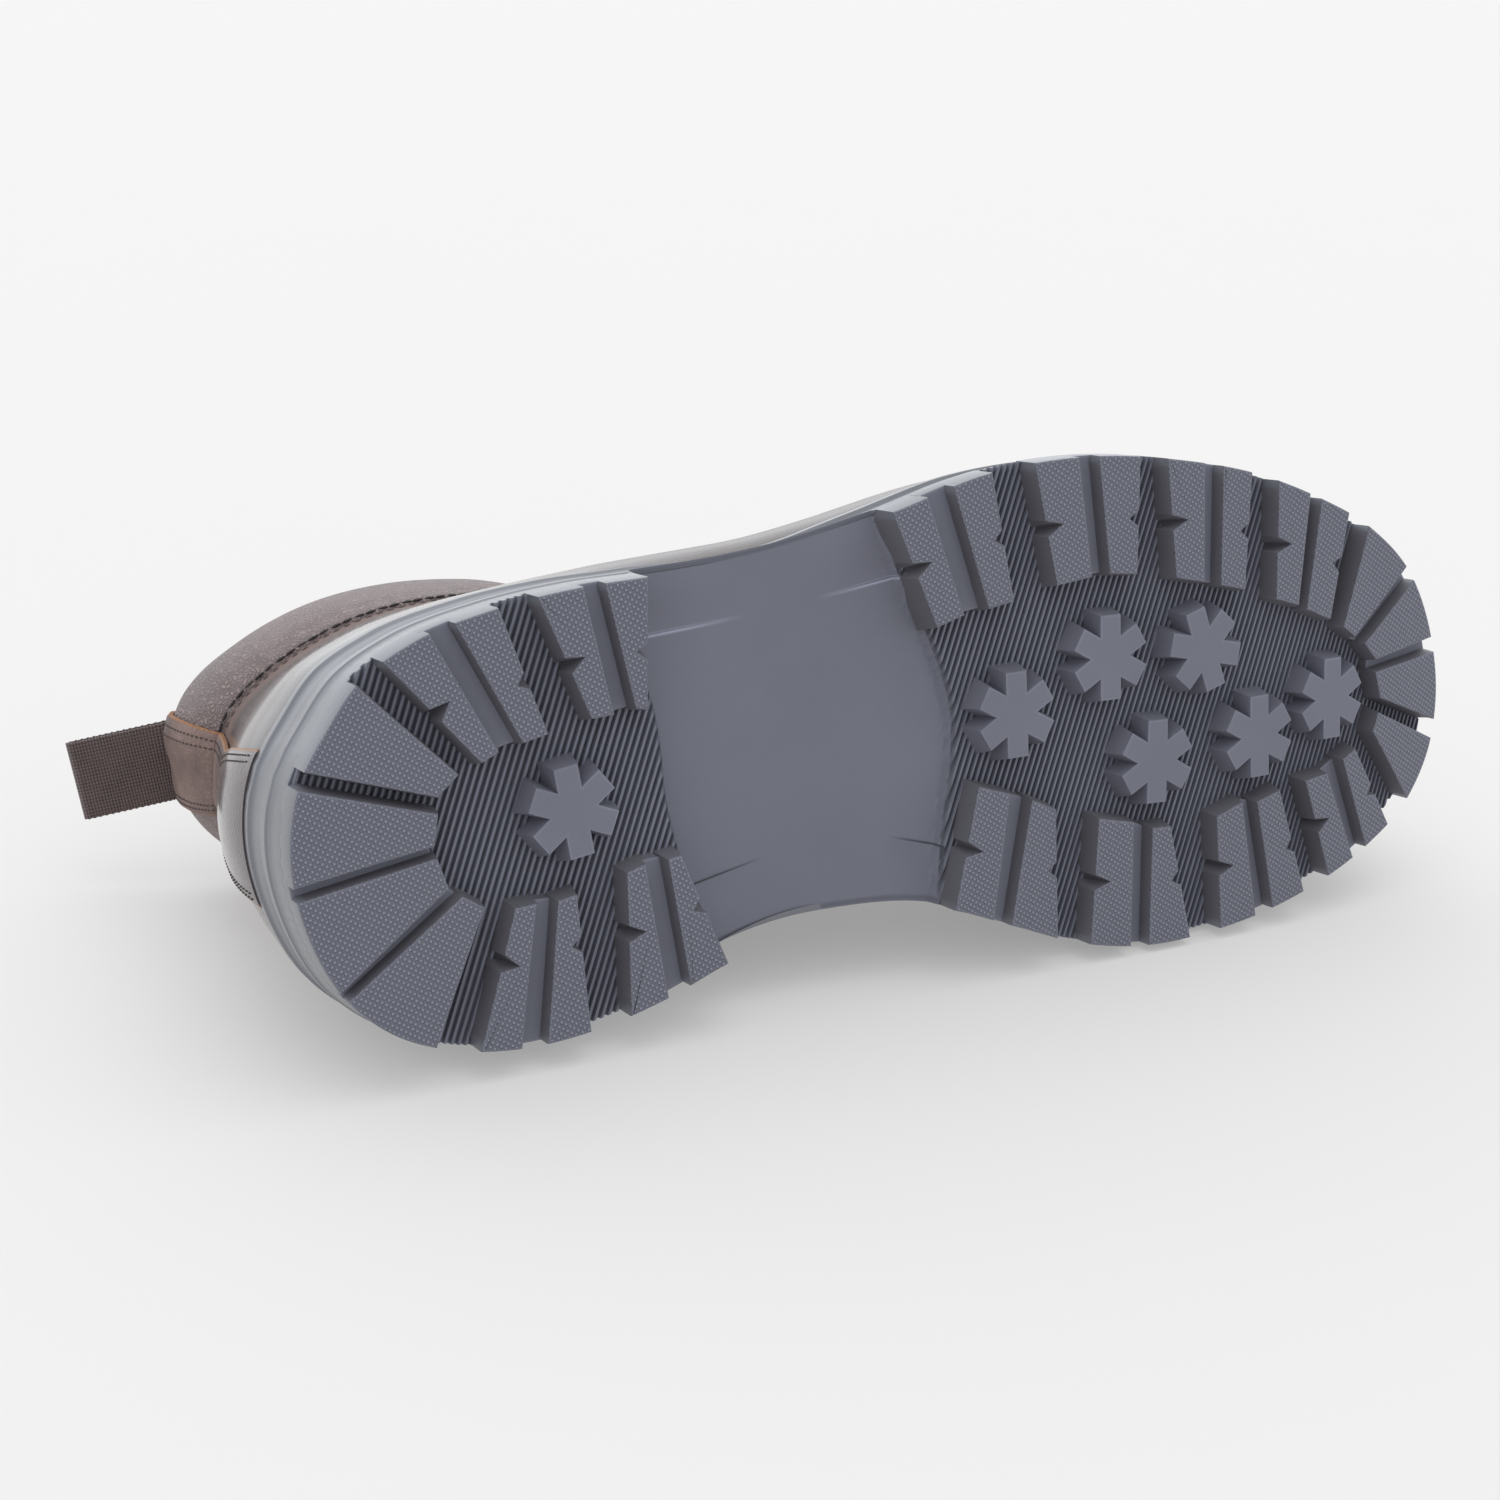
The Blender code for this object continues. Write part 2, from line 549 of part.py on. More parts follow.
def make_outsole(plan, material, group, cutters):
    verts, faces = sole_body(plan)
    body = new_object("outsole", verts, faces, material, group)
    points, blocks = [], []
    for block_verts, block_faces in ([lug_block(plan, row) for row in HEEL_LUGS + FORE_LUGS]
                                     + [stud_block(row) for row in STUDS]):
        start = len(points)
        points.extend(block_verts)
        blocks.extend(tuple(start + corner for corner in face) for face in block_faces)
    tread = new_object("tread_blocks", points, blocks, material, cutters, shade=False)
    tread.display_type = "WIRE"
    tread.hide_render = True
    join = body.modifiers.new("tread", "BOOLEAN")
    join.operation = "UNION"
    join.solver = "EXACT"
    join.object = tread
    return body


class UpperShape:
    """Outer face of the upper: curved ribs from the sole's edge to the top line, walked round the boot."""

    def __init__(self, plan):
        self.plan = plan
        last = len(UPPER_SECTIONS) - 1
        walk = [(row, True) for row in range(last + 1)] + [(row, False) for row in range(last - 1, 0, -1)]
        self.sections = walk
        feet, tops, shape = [], [], []
        for number, outer in walk:
            outer_x, inner_x, top_x, outer_y, inner_y, top_z, *swells = UPPER_SECTIONS[number][:8]
            feet.append(int(plan.index(outer_x if outer else inner_x, outer)))
            tops.append((top_x, outer_y if outer else inner_y, top_z))
            shape.append((swells[0 if outer else 1],) + UPPER_SECTIONS[number][8:])
        feet = np.array(feet)
        toe = feet[0]
        self.foot_walk = np.mod(toe - feet, EDGE_SAMPLES).astype(float)
        self.toe = toe
        self.period = float(EDGE_SAMPLES)
        self.tops = np.array(tops)
        self.shape = np.array(shape)

    def at_section(self, number, outer=True):
        return self.foot_walk[self.sections.index((number, outer))]

    def top(self, walk):
        return ring_curve(self.tops, self.foot_walk, self.period, walk)

    def handles(self, walk):
        """Swell, rise, reach and drop of the rib at each walk value."""
        return np.moveaxis(ring_curve(self.shape, self.foot_walk, self.period, walk), -1, 0)

    def point(self, walk, up):
        """Point of the outer face. Walk goes round the boot, up runs from the sole to the top line."""
        walk, up = np.broadcast_arrays(np.asarray(walk, float), np.asarray(up, float))
        index = np.rint(self.toe - walk).astype(int) % EDGE_SAMPLES
        foot_xy = self.plan.shelf(index, FEATHER_INSET)
        foot = np.concatenate([foot_xy, (sole_top(foot_xy[..., 0]) + GAP)[..., None]], axis=-1)
        top = self.top(walk)
        swell, rise, reach, drop = self.handles(walk)
        out = self.plan.outward[index]
        low = foot + np.stack([out[..., 0] * swell, out[..., 1] * swell, rise], axis=-1)
        away = foot[..., :2] - top[..., :2]
        away = unit(away + out * TOP_TURN)
        high = top + np.stack([away[..., 0] * reach, away[..., 1] * reach, -drop], axis=-1)
        t = up[..., None]
        s = 1 - t
        return s ** 3 * foot + 3 * s * s * t * low + 3 * s * t * t * high + t ** 3 * top

    def frame(self, walk, up):
        """Point and outward normal of the outer face."""
        walk, up = np.broadcast_arrays(np.asarray(walk, float), np.asarray(up, float))
        point = self.point(walk, up)
        side = self.point(walk + WALK_STEP, up) - self.point(walk - WALK_STEP, up)
        rise = self.point(walk, np.minimum(up + UP_STEP, 1)) - self.point(walk, np.maximum(up - UP_STEP, 0))
        normal = unit(np.cross(side, rise))
        least, greatest, middle_y, middle_z = FOOT_LINE
        inside = np.stack([np.clip(point[..., 0], least, greatest), np.full_like(up, middle_y),
                           np.full_like(up, middle_z)], axis=-1)
        flip = np.sign(np.sum(normal * (point - inside), axis=-1, keepdims=True))
        return point, normal * flip

    def shifted(self, walk, distance, up):
        """Walk value a given distance along the face, measured at the height up."""
        step = self.point(walk + WALK_STEP, up) - self.point(walk - WALK_STEP, up)
        return walk + distance * 2 * WALK_STEP / np.linalg.norm(step, axis=-1)

    def below_edge(self, walk, distance):
        """Up values a given distance down from the top line."""
        swell, rise, reach, drop = self.handles(walk)
        return 1 - distance / (3 * np.hypot(reach, drop))

    def above(self, walk, distance, height):
        """Point a given height over the face and distance down from the top line, with the normal there."""
        point, normal = self.frame(walk, self.below_edge(walk, distance))
        return point + normal * height, normal


def make_upper(shape, material, group):
    walk = np.arange(UPPER_ROUND) * shape.period / UPPER_ROUND
    up = np.linspace(0, 1, UPPER_STEPS)
    point, normal = shape.frame(walk[None, :], up[:, None])
    inner = point - normal * UPPER_WALL
    inner[0, :, 2] = point[0, :, 2]
    count = point.shape[0] * point.shape[1]
    rows, columns = point.shape[:2]
    faces = grid_faces(rows, columns, close_columns=True)
    faces += [face[::-1] for face in grid_faces(rows, columns, count, close_columns=True)]
    for row in (0, rows - 1):
        for a in range(columns):
            b = (a + 1) % columns
            rim = row * columns
            faces.append((rim + b, rim + a, count + rim + a, count + rim + b))
    verts = np.concatenate([point.reshape(-1, 3), inner.reshape(-1, 3)])
    return new_object("upper", verts, faces, material, group)


class CollarShape:
    """Padded band standing on the upper's top line from one throat edge round the back to the other."""

    def __init__(self, shape):
        self.shape = shape
        self.first = shape.at_section(THROAT_SECTION, True)
        self.last = shape.at_section(THROAT_SECTION, False)
        self.heel = shape.at_section(HEEL_SECTION)

    def frame(self, walk):
        base = self.shape.top(walk)
        along = unit(self.shape.top(walk + WALK_STEP) - self.shape.top(walk - WALK_STEP))
        out = unit(np.stack([-along[..., 1], along[..., 0], np.zeros_like(walk)], axis=-1))
        least, greatest, middle_y = ANKLE_LINE
        centre = np.stack([np.clip(base[..., 0], least, greatest), np.full_like(walk, middle_y), base[..., 2]],
                          axis=-1)
        out *= np.sign(np.sum(out * (base - centre), axis=-1, keepdims=True))
        share = (walk - self.heel) / np.where(walk < self.heel, self.heel - self.first, self.last - self.heel)
        height = smooth(np.abs(share), (0.0, 0.7, 1.0), (COLLAR_HEIGHT, COLLAR_HEIGHT, COLLAR_FRONT_HEIGHT))
        shares, outer_swells, inner_swells = zip(*COLLAR_PADDING)
        return base, out, height, smooth(share, shares, outer_swells), smooth(share, shares, inner_swells)

    def point(self, walk, row):
        """Point of the section's corner number row, with its outward direction."""
        base, out, height, outer_swell, inner_swell = self.frame(walk)
        beyond, share = COLLAR_SECTION[row]
        beyond = beyond * (outer_swell if beyond > 0 else inner_swell)
        rise = GAP + height * share
        return base + out * beyond[..., None] + np.array([0, 0, 1.0]) * rise[..., None], out


def make_collar(collar, material, group):
    walk = np.linspace(collar.first, collar.last, COLLAR_ROUND)
    loops = np.stack([collar.point(walk, row)[0] for row in range(len(COLLAR_SECTION))], axis=1)
    columns = len(COLLAR_SECTION)
    faces = grid_faces(COLLAR_ROUND, columns, close_columns=True)
    faces.append(tuple(range(columns)))
    faces.append(tuple((COLLAR_ROUND - 1) * columns + k for k in range(columns - 1, -1, -1)))
    return new_object("collar", loops.reshape(-1, 3), faces, material, group)


def make_backstay(shape, collar, material, group):
    """Strip over the back of the upper and the collar, wider below its shoulder."""
    heel = shape.at_section(HEEL_SECTION)
    across = np.linspace(-1, 1, STRIP_ACROSS + 1)
    near, far = [], []
    for up in np.linspace(STRIP_FOOT, 1.0, STRIP_UPPER_ROWS):
        half = smooth(up, *zip(*STRIP_WIDTHS))
        walk = shape.shifted(heel, across * half, up)
        point, normal = shape.frame(walk, np.full_like(walk, up))
        near.append(point + normal * GAP)
        far.append(point + normal * (GAP + STRIP_THICK))
    for row in range(1, STRIP_COLLAR_ROWS):
        walk = shape.shifted(heel, across * STRIP_HALF, 1.0)
        point, out = collar.point(walk, row)
        normal = unit(out + np.array([0, 0, STRIP_TOP_TILT if row == STRIP_COLLAR_ROWS - 1 else 0.0]))
        near.append(point + normal * GAP)
        far.append(point + normal * (GAP + STRIP_THICK))
    verts, faces = sheet_solid(np.array(near), np.array(far))
    return new_object("backstay", verts, faces, material, group)


def make_loop(collar, material, group):
    """Flat tape doubled back on itself, standing off the top of the collar at the back."""
    heel = np.array([collar.heel])
    root, out = collar.point(heel, STRIP_COLLAR_ROWS - 1)
    root, out = root[0], out[0]
    half = LOOP_OPEN / 2 + LOOP_TAPE
    start = root + out * LOOP_OUT + np.array([0, 0, LOOP_LIFT + half])
    path = []
    for k in range(LOOP_ROWS):
        path.append((LOOP_LENGTH * k / LOOP_ROWS, half))
    for k in range(LOOP_BEND_STEPS + 1):
        angle = math.pi / 2 - math.pi * k / LOOP_BEND_STEPS
        path.append((LOOP_LENGTH - half + half * math.cos(angle), half * math.sin(angle)))
    for k in range(LOOP_ROWS - 1, -1, -1):
        path.append((LOOP_LENGTH * k / LOOP_ROWS, -half))
    shrink = (half - LOOP_TAPE) / half
    bend = LOOP_LENGTH - half
    inner = [(a if a < bend else bend + (a - bend) * shrink, b * shrink) for a, b in path]
    direction = unit(np.array([-LOOP_LENGTH, 0.0, LOOP_RISE]))
    sideways = np.array([0.0, -1.0, 0.0])
    upward = np.cross(direction, sideways)
    turn = math.radians(LOOP_TURN)
    direction, sideways = (direction * math.cos(turn) - sideways * math.sin(turn),
                           sideways * math.cos(turn) + direction * math.sin(turn))

    def sweep(line):
        rows = []
        for a, b in line:
            middle = start + direction * a + upward * b
            aside = sideways * LOOP_WIDTH / 2 - direction * (math.tan(turn) * LOOP_WIDTH / 2 if a == 0 else 0.0)
            rows.append([middle - aside, middle + aside])
        return np.array(rows)

    verts, faces = sheet_solid(sweep(inner), sweep(path))
    return new_object("pull_loop", verts, faces, material, group, shade=False)


def make_insole(plan, material, group):
    """Plate on the sole's top, inside the foot of the upper."""
    rows = bottom_rows(plan)[1:-1]
    outer = plan.shelf(plan.index(rows[:, 0], True), INSOLE_INSET)
    inner = plan.shelf(plan.index(rows[:, 2], False), INSOLE_INSET)
    shares = np.linspace(0, 1, INSOLE_ACROSS + 1)
    near = []
    for a, b in zip(outer, inner):
        line = a + (b - a) * shares[:, None]
        near.append(np.column_stack([line, sole_top(line[:, 0]) + GAP]))
    near = np.array(near)
    near = near[np.concatenate([[True], np.diff(near[:, 1, 0]) > INSOLE_STEP])]
    verts, faces = sheet_solid(near + np.array([0, 0, INSOLE_THICK]), near)
    return new_object("insole", verts, faces, material, group)


def throat_walks(shape, count):
    """Walk values along the two throat edges from the vamp to the collar."""
    return [np.linspace(shape.at_section(VAMP_SECTION, outer), shape.at_section(THROAT_SECTION, outer), count)
            for outer in (True, False)]


def make_tongue(shape, material, group):
    """Curved plate under both throat edges, carried on past the collar."""
    walks = throat_walks(shape, TONGUE_ROWS)
    depth = UPPER_WALL + TONGUE_CLEAR
    edges = []
    for walk in walks:
        lines = []
        for up in TONGUE_LINES:
            point, normal = shape.frame(walk, np.full_like(walk, up))
            lines.append((point - normal * depth, normal))
        edges.append(lines)
    (outer_tuck, outer_mid, outer_edge), (inner_tuck, inner_mid, inner_edge) = edges
    centre = (outer_edge[0] + inner_edge[0]) / 2
    up = unit(outer_edge[1] + inner_edge[1])
    centre = centre + up * TONGUE_CROWN
    near = np.stack([outer_tuck[0], outer_mid[0], outer_edge[0], centre, inner_edge[0], inner_mid[0],
                     inner_tuck[0]], axis=1)
    normal = np.stack([outer_tuck[1], outer_mid[1], unit(outer_edge[1] + up), up, unit(inner_edge[1] + up),
                       inner_mid[1], inner_tuck[1]], axis=1)
    vamp = np.diff(shape.point(np.zeros(2), np.array(VAMP_SPAN[::-1])), axis=0)[0]
    vamp = unit(vamp)
    front = near[:1] + vamp * TONGUE_FORWARD - up[0] * TONGUE_DROP
    rise = unit(near[-1, 3] - near[-3, 3])
    rise = unit(rise * TONGUE_TURN[0] + np.array([0, 0, TONGUE_TURN[1]]))
    across = unit(near[-1, 4] - near[-1, 2])
    face = np.cross(across, rise)
    face = face * np.sign(np.dot(face, up[-1]))
    spread = np.linspace(-1, 1, near.shape[1])
    end_points, end_normals = [], []
    for distance, half in TONGUE_END:
        line = near[-1, 3] + rise * distance + across * (spread * half)[:, None]
        end_points.append(line - face * (spread ** 2 * TONGUE_CROWN)[:, None])
        end_normals.append(np.repeat(face[None], len(line), axis=0))
    near = np.concatenate([front, near, np.array(end_points)])
    normal = np.concatenate([normal[:1], normal, np.array(end_normals)])
    verts, faces = sheet_solid(near, near - normal * TONGUE_THICK)
    return new_object("tongue", verts, faces, material, group)


def make_facings(shape, material, group):
    for name, walk in zip(("eyestay_outer", "eyestay_inner"), throat_walks(shape, FACING_ROWS)):
        down = np.linspace(FACING_WIDTH, 0.0, FACING_STEPS + 1)
        walk, down = np.meshgrid(walk, down, indexing="ij")
        far, _ = shape.above(walk, down, FACING_SEAT + FACING_THICK)
        near, _ = shape.above(walk, down, FACING_SEAT)
        verts, faces = sheet_solid(far, near)
        new_object(name, verts, faces, material, group)


def eyelet_walks(shape):
    """Walk values of the eyelets, outer and inner ones, from the vamp to the collar."""
    return [walk[1:-1] for walk in throat_walks(shape, EYELET_PAIRS + 2)]


def make_eyelets(shape, material, group):
    """Rings seated on the facings."""
    loop = ((EYELET_OUTER, 0.0), (EYELET_OUTER - EYELET_BEVEL, EYELET_THICK),
            (EYELET_INNER + EYELET_BEVEL, EYELET_THICK), (EYELET_INNER, 0.0))
    for name, walk in zip(("outer", "inner"), eyelet_walks(shape)):
        middles, normals = shape.above(walk, EYELET_FROM_EDGE, FACING_SEAT + FACING_THICK + GAP)
        for number, (middle, normal) in enumerate(zip(middles, normals), start=1):
            first = unit(np.cross(normal, ACROSS_BOOT))
            second = np.cross(normal, first)
            rings = []
            for k in range(EYELET_SEGMENTS):
                angle = 2 * math.pi * k / EYELET_SEGMENTS
                away = first * math.cos(angle) + second * math.sin(angle)
                rings.append([middle + away * radius + normal * height for radius, height in loop])
            faces = grid_faces(EYELET_SEGMENTS, len(loop), close_rows=True, close_columns=True)
            verts = np.array(rings).reshape(-1, 3)
            new_object("eyelet_%s_%d" % (name, number), verts, faces, material, group)


def tube(path):
    """Closed round cord along a path of points."""
    path = np.asarray(path, float)
    along = unit(np.gradient(path, axis=0))
    side = unit(np.cross(along, OVER_INSTEP))
    lift = np.cross(side, along)
    angles = np.arange(LACE_SIDES) * 2 * math.pi / LACE_SIDES
    rings = (path[:, None, :] + LACE_RADIUS * (np.cos(angles)[None, :, None] * side[:, None, :]
                                               + np.sin(angles)[None, :, None] * lift[:, None, :]))
    faces = grid_faces(len(path), LACE_SIDES, close_columns=True)
    faces.append(tuple(range(LACE_SIDES - 1, -1, -1)))
    faces.append(tuple((len(path) - 1) * LACE_SIDES + k for k in range(LACE_SIDES)))
    return rings.reshape(-1, 3), faces


def lace_run(shape, start, start_down, end):
    """Path from near one eyelet over both throat edges to the opposite eyelet. Start and end are pairs of walk
    values, at the eyelet and at the throat edge."""
    stops = [shape.above(np.array(start[0]), start_down, LACE_HEIGHT)[0],
             shape.above(np.array(start[1]), 0.0, LACE_HEIGHT)[0],
             shape.above(np.array(end[1]), 0.0, LACE_HEIGHT)[0],
             shape.above(np.array(end[0]), EYELET_FROM_EDGE, LACE_HEIGHT)[0]]
    stops = np.array(stops)
    knots = np.concatenate([[0.0], np.cumsum(np.linalg.norm(np.diff(stops, axis=0), axis=1))])
    at = np.linspace(0.0, knots[-1], LACE_STEPS)
    return np.stack([smooth(at, knots, stops[:, axis]) for axis in range(3)], axis=1)


def make_lace(shape, material, group, cutters):
    outer, inner = eyelet_walks(shape)
    verts, faces = tube(lace_run(shape, (outer[0], outer[0]), EYELET_FROM_EDGE, (inner[0], inner[0])))
    new_object("lace_bar", verts, faces, material, group)
    for k in range(EYELET_PAIRS - 1):
        pair = []
        for near, far in ((outer, inner), (inner, outer)):
            step = near[k + 1] - near[k]
            start = (near[k] + LACE_START[0] * step, near[k] + LACE_START[1] * step)
            end = (far[k + 1], far[k + 1] - LACE_END * (far[k + 1] - far[k]))
            pair.append(tube(lace_run(shape, start, LACE_START_FROM_EDGE, end)))
        over = new_object("lace_cross_%d" % (k + 1), *pair[0], material, group)
        under = new_object("lace_half_%d" % (k + 1), *pair[1], material, cutters)
        under.display_type = "WIRE"
        under.hide_render = True
        join = over.modifiers.new("crossing", "BOOLEAN")
        join.operation = "UNION"
        join.solver = "EXACT"
        join.object = under


def rest_matrix():
    """Turn that lays the boot on its inner side."""
    return (Matrix.Rotation(math.radians(REST_PITCH), 4, "Y")
            @ Matrix.Rotation(math.radians(REST_ROLL), 4, "X"))


def lay_down(group, cutters):
    """Hangs every piece on one empty in the rest pose, with the floor at z = 0 and the middle at x = y = 0."""
    pivot = bpy.data.objects.new("boot", None)
    group.objects.link(pivot)
    turn = rest_matrix()
    low = Vector((1e9, 1e9, 1e9))
    high = -low
    solids = [item for item in list(group.objects) + list(cutters.objects) if item.type == "MESH"]
    for item in solids:
        for vertex in item.data.vertices:
            place = turn @ vertex.co
            low = Vector(map(min, low, place))
            high = Vector(map(max, high, place))
    for item in solids:
        item.parent = pivot
    pivot.matrix_world = Matrix.Translation((-(low.x + high.x) / 2, -(low.y + high.y) / 2, -low.z)) @ turn


def main():
    clear_scene()
    boot = collection("lace_up_ankle_boot")
    cutters = collection("tools", hidden=True)
    look = {name: finish(name) for name in FINISHES}
    plan = SolePlan()
    shape = UpperShape(plan)
    collar = CollarShape(shape)
    make_outsole(plan, look["sole_rubber"], boot, cutters)
    make_insole(plan, look["lining"], boot)
    make_upper(shape, look["brown_leather"], boot)
    make_collar(collar, look["collar_leather"], boot)
    make_backstay(shape, collar, look["strip_leather"], boot)
    make_loop(collar, look["tape"], boot)
    make_tongue(shape, look["brown_leather"], boot)
    make_facings(shape, look["brown_leather"], boot)
    make_eyelets(shape, look["eyelet_metal"], boot)
    make_lace(shape, look["lace_cord"], boot, cutters)
    lay_down(boot, cutters)


main()
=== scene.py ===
"""Lace-up ankle boot for the right foot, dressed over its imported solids, lying on its inner side."""
import math

import bmesh
import bpy
import numpy as np
from bpy.props import FloatProperty, FloatVectorProperty, PointerProperty
from mathutils import Matrix, Vector


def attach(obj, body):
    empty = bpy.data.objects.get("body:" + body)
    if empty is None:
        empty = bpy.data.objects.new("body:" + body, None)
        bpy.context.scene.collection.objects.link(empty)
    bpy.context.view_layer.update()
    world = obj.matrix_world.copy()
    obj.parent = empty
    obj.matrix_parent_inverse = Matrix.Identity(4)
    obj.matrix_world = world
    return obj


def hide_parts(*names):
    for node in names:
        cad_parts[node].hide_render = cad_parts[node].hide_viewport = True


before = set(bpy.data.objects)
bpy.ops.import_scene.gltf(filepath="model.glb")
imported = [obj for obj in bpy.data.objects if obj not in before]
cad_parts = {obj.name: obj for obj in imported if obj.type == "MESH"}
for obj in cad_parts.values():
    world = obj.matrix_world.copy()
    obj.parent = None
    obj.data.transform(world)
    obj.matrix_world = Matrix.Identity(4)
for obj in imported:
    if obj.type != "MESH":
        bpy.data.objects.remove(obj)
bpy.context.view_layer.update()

bl_info = {
    "name": "Lace-up ankle boot",
    "version": (1, 0, 0),
    "blender": (4, 5, 0),
    "location": "View3D > Sidebar > Boot",
    "description": "Dresses the packed ankle boot with its sole, leather, padding, stitching and lace",
    "category": "Object",
}

# Boot frame in millimetres: x from the back of the heel to the toe, y to the inner side, z up from the tread.
MM = 0.001
GAP = 0.3
# Millimetres, and steps round the sole's edge, in one unit of the surface coordinates.
SHEET_MM = 10.0
SHEET_WALK = 60.0

# Rest pose: turns in degrees about the long axis and across it, then the shift to the floor in metres.
REST_ROLL = -100.24
REST_PITCH = 2.51
REST_SHIFT = (-0.146086, -0.068480, 0.066915)
REST_TURN = np.array(Matrix.Rotation(math.radians(REST_PITCH), 3, "Y")
                     @ Matrix.Rotation(math.radians(REST_ROLL), 3, "X"))

# Camera in the boot frame: place in millimetres, then its right, down and forward directions.
CAMERA_PLACE = (-144.0, -104.4, -491.4)
CAMERA_RIGHT = (0.8916, 0.0016, -0.4528)
CAMERA_DOWN = (-0.0837, 0.9833, -0.1614)
CAMERA_FORWARD = (0.4450, 0.1818, 0.8769)
CAMERA_LENS = 60.0
CAMERA_SENSOR = 36.0
CAMERA_NEAR = 0.01

# Overhead light: where it comes from, its spread in degrees and its power.
OVERHEAD_FROM = (0.08, 0.12, 0.98)
OVERHEAD_SPREAD = 60.0
OVERHEAD_POWER = 0.60
# Studio round the boot: its tint, and its brightness all round, more behind the boot and more overhead.
STUDIO_TINT = (0.94, 0.97, 1.0)
STUDIO_GLOW = (0.95, 0.60, 0.15)
FLOOR_GLOW = 0.28
FLOOR_REACH = 30.0

# Sole plan. Columns: x, y. From the back of the heel to the toe, first the outer edge, then the inner edge.
OUTER_EDGE = (
    (-1, 11), (1.5, -4), (7.5, -14.6), (15, -24.5), (27, -32), (46, -38), (66, -41.5),
    (83, -43), (112, -46.5), (141, -54), (167, -62), (196, -65.2), (222, -63.5),
    (244, -59.7), (264, -53.3), (284, -44.3), (300, -31.5), (309.5, -14), (312.5, 2),
)
INNER_EDGE = (
    (2.5, 29), (10, 43), (21, 52.5), (34, 57.5), (49, 59.3), (66, 57.7), (84, 52.8),
    (100, 46.3), (114, 42), (134, 39.5), (157, 40.3), (177, 46.8), (197, 53.5),
    (216, 56.2), (240, 54.3), (266, 48), (287, 39.2), (302.5, 28.5), (310.5, 15.5),
)
EDGE_SAMPLES = 6400

# Sole heights along the boot. Columns: x, height of the sole's top edge, rise of the tread.
SOLE_HEIGHTS = (
    (-5, 30, 0), (60, 29, 0), (112, 25.5, 0), (165, 21, 0), (210, 19, 0),
    (235, 19, 0), (262, 20, 0.9), (288, 23, 3.6), (316, 28, 8.3),
)

# Depth of the floor between the lugs.
LUG_DEPTH = 6.5

# Steps at the two ends of the waist. Columns: y, x of the step at the heel, x of the step at the forefoot.
WAIST_LINES = (
    (-60, 82, 139.5), (-50, 82, 142.3), (-38.8, 82.2, 146.5), (-24.3, 82.8, 154.2),
    (-12, 86.6, 159.2), (-2.7, 88.2, 161), (7.5, 89.2, 160.8), (20, 92.2, 159),
    (31, 96.5, 158.3), (48, 103.5, 157.5),
)
# Heights of the waist over the tread. Columns: share of the way from the heel's step, height.
WAIST_HEIGHTS = ((0.0, 13.0), (0.4, 12.0), (1.0, 8.5))
# Run of the step at the heel and at the forefoot.
WAIST_STEP_RUNS = (1.5, 1.0)

# Fine steps of the waist, where its flank lies lower than its middle. Columns: x, y of the end where the step
# is deepest, x, y of the end where it fades out, and the side of the flank, -1 outer and 1 inner.
WAIST_STEPS = (
    (86, -28, 112, -31.5, -1), (148.5, -38.8, 127, -34.2, -1), (97, 30.5, 117, 25.2, 1),
    (161, 26.8, 146, 23.2, 1),
)
# Section of those steps in centimetres, each pair from nought to full. The fade starts at a share of their
# length, and the line along the face lies a little to the side.
STEP_START = (-0.2, -0.1)
STEP_FADE_FROM = 0.2
STEP_FACE = (-0.03, 0.03)
STEP_FLANK = (1.1, 0.05)
STEP_LINE = (0.08, 0.01)
STEP_LINE_ASIDE = 0.02
STEP_DEPTH = 2.6

# Ribs of the floor between the lugs: lean, share of their depth that is cut into the floor, and the run over
# which they start beside a step of the waist.
RIB_LEAN = 0.34
RIB_SEAT = 0.4
RIB_RUN = 1.0
# Corners of one rib. Columns: share of the pitch, 0 in the groove and 1 on the ridge.
RIB_CORNERS = ((0.06, 0.0), (0.42, 0.0), (0.56, 1.0), (0.92, 1.0))
# Points across the floor and the sole's top, points that search a row for a step, columns that stay in place
# at a row's ends, and the least distance of a row from the sole's ends.
FLOOR_COLUMNS = 60
TOP_COLUMNS = 6
FLOOR_SEARCH = 400
FLOOR_MARGIN = 1.5
ROW_MARGIN = 0.05

# Side of the sole. Columns: share of the sole's height, then millimetres beyond the tread's edge at the heel
# and at the forefoot.
SIDE_PROFILE = (
    (0.49, 0.6, -1.6), (0.52, 1.0, -0.9), (0.58, 1.0, -0.9), (0.61, 0.7, -1.8), (0.88, 0.8, -2.4),
    (0.91, 1.4, -1.6), (1.00, 1.3, -1.8),
)
SIDE_SHARES = (0.49, 0.50, 0.51, 0.52, 0.53, 0.55, 0.57, 0.58, 0.59, 0.60, 0.61, 0.62, 0.66, 0.72, 0.80, 0.86,
               0.88, 0.89, 0.90, 0.91, 0.92, 0.95, 0.98, 0.995, 1.0)
# Shares of the way from the tread's edge to the profile's first line where rings of points lie too.
SIDE_FOOT_PARTS = (0.15, 0.6)
SIDE_BLEND = (84.0, 128.0)
OUTER_LEAN = 2.8
LEAN_FADE = (90.0, 150.0)

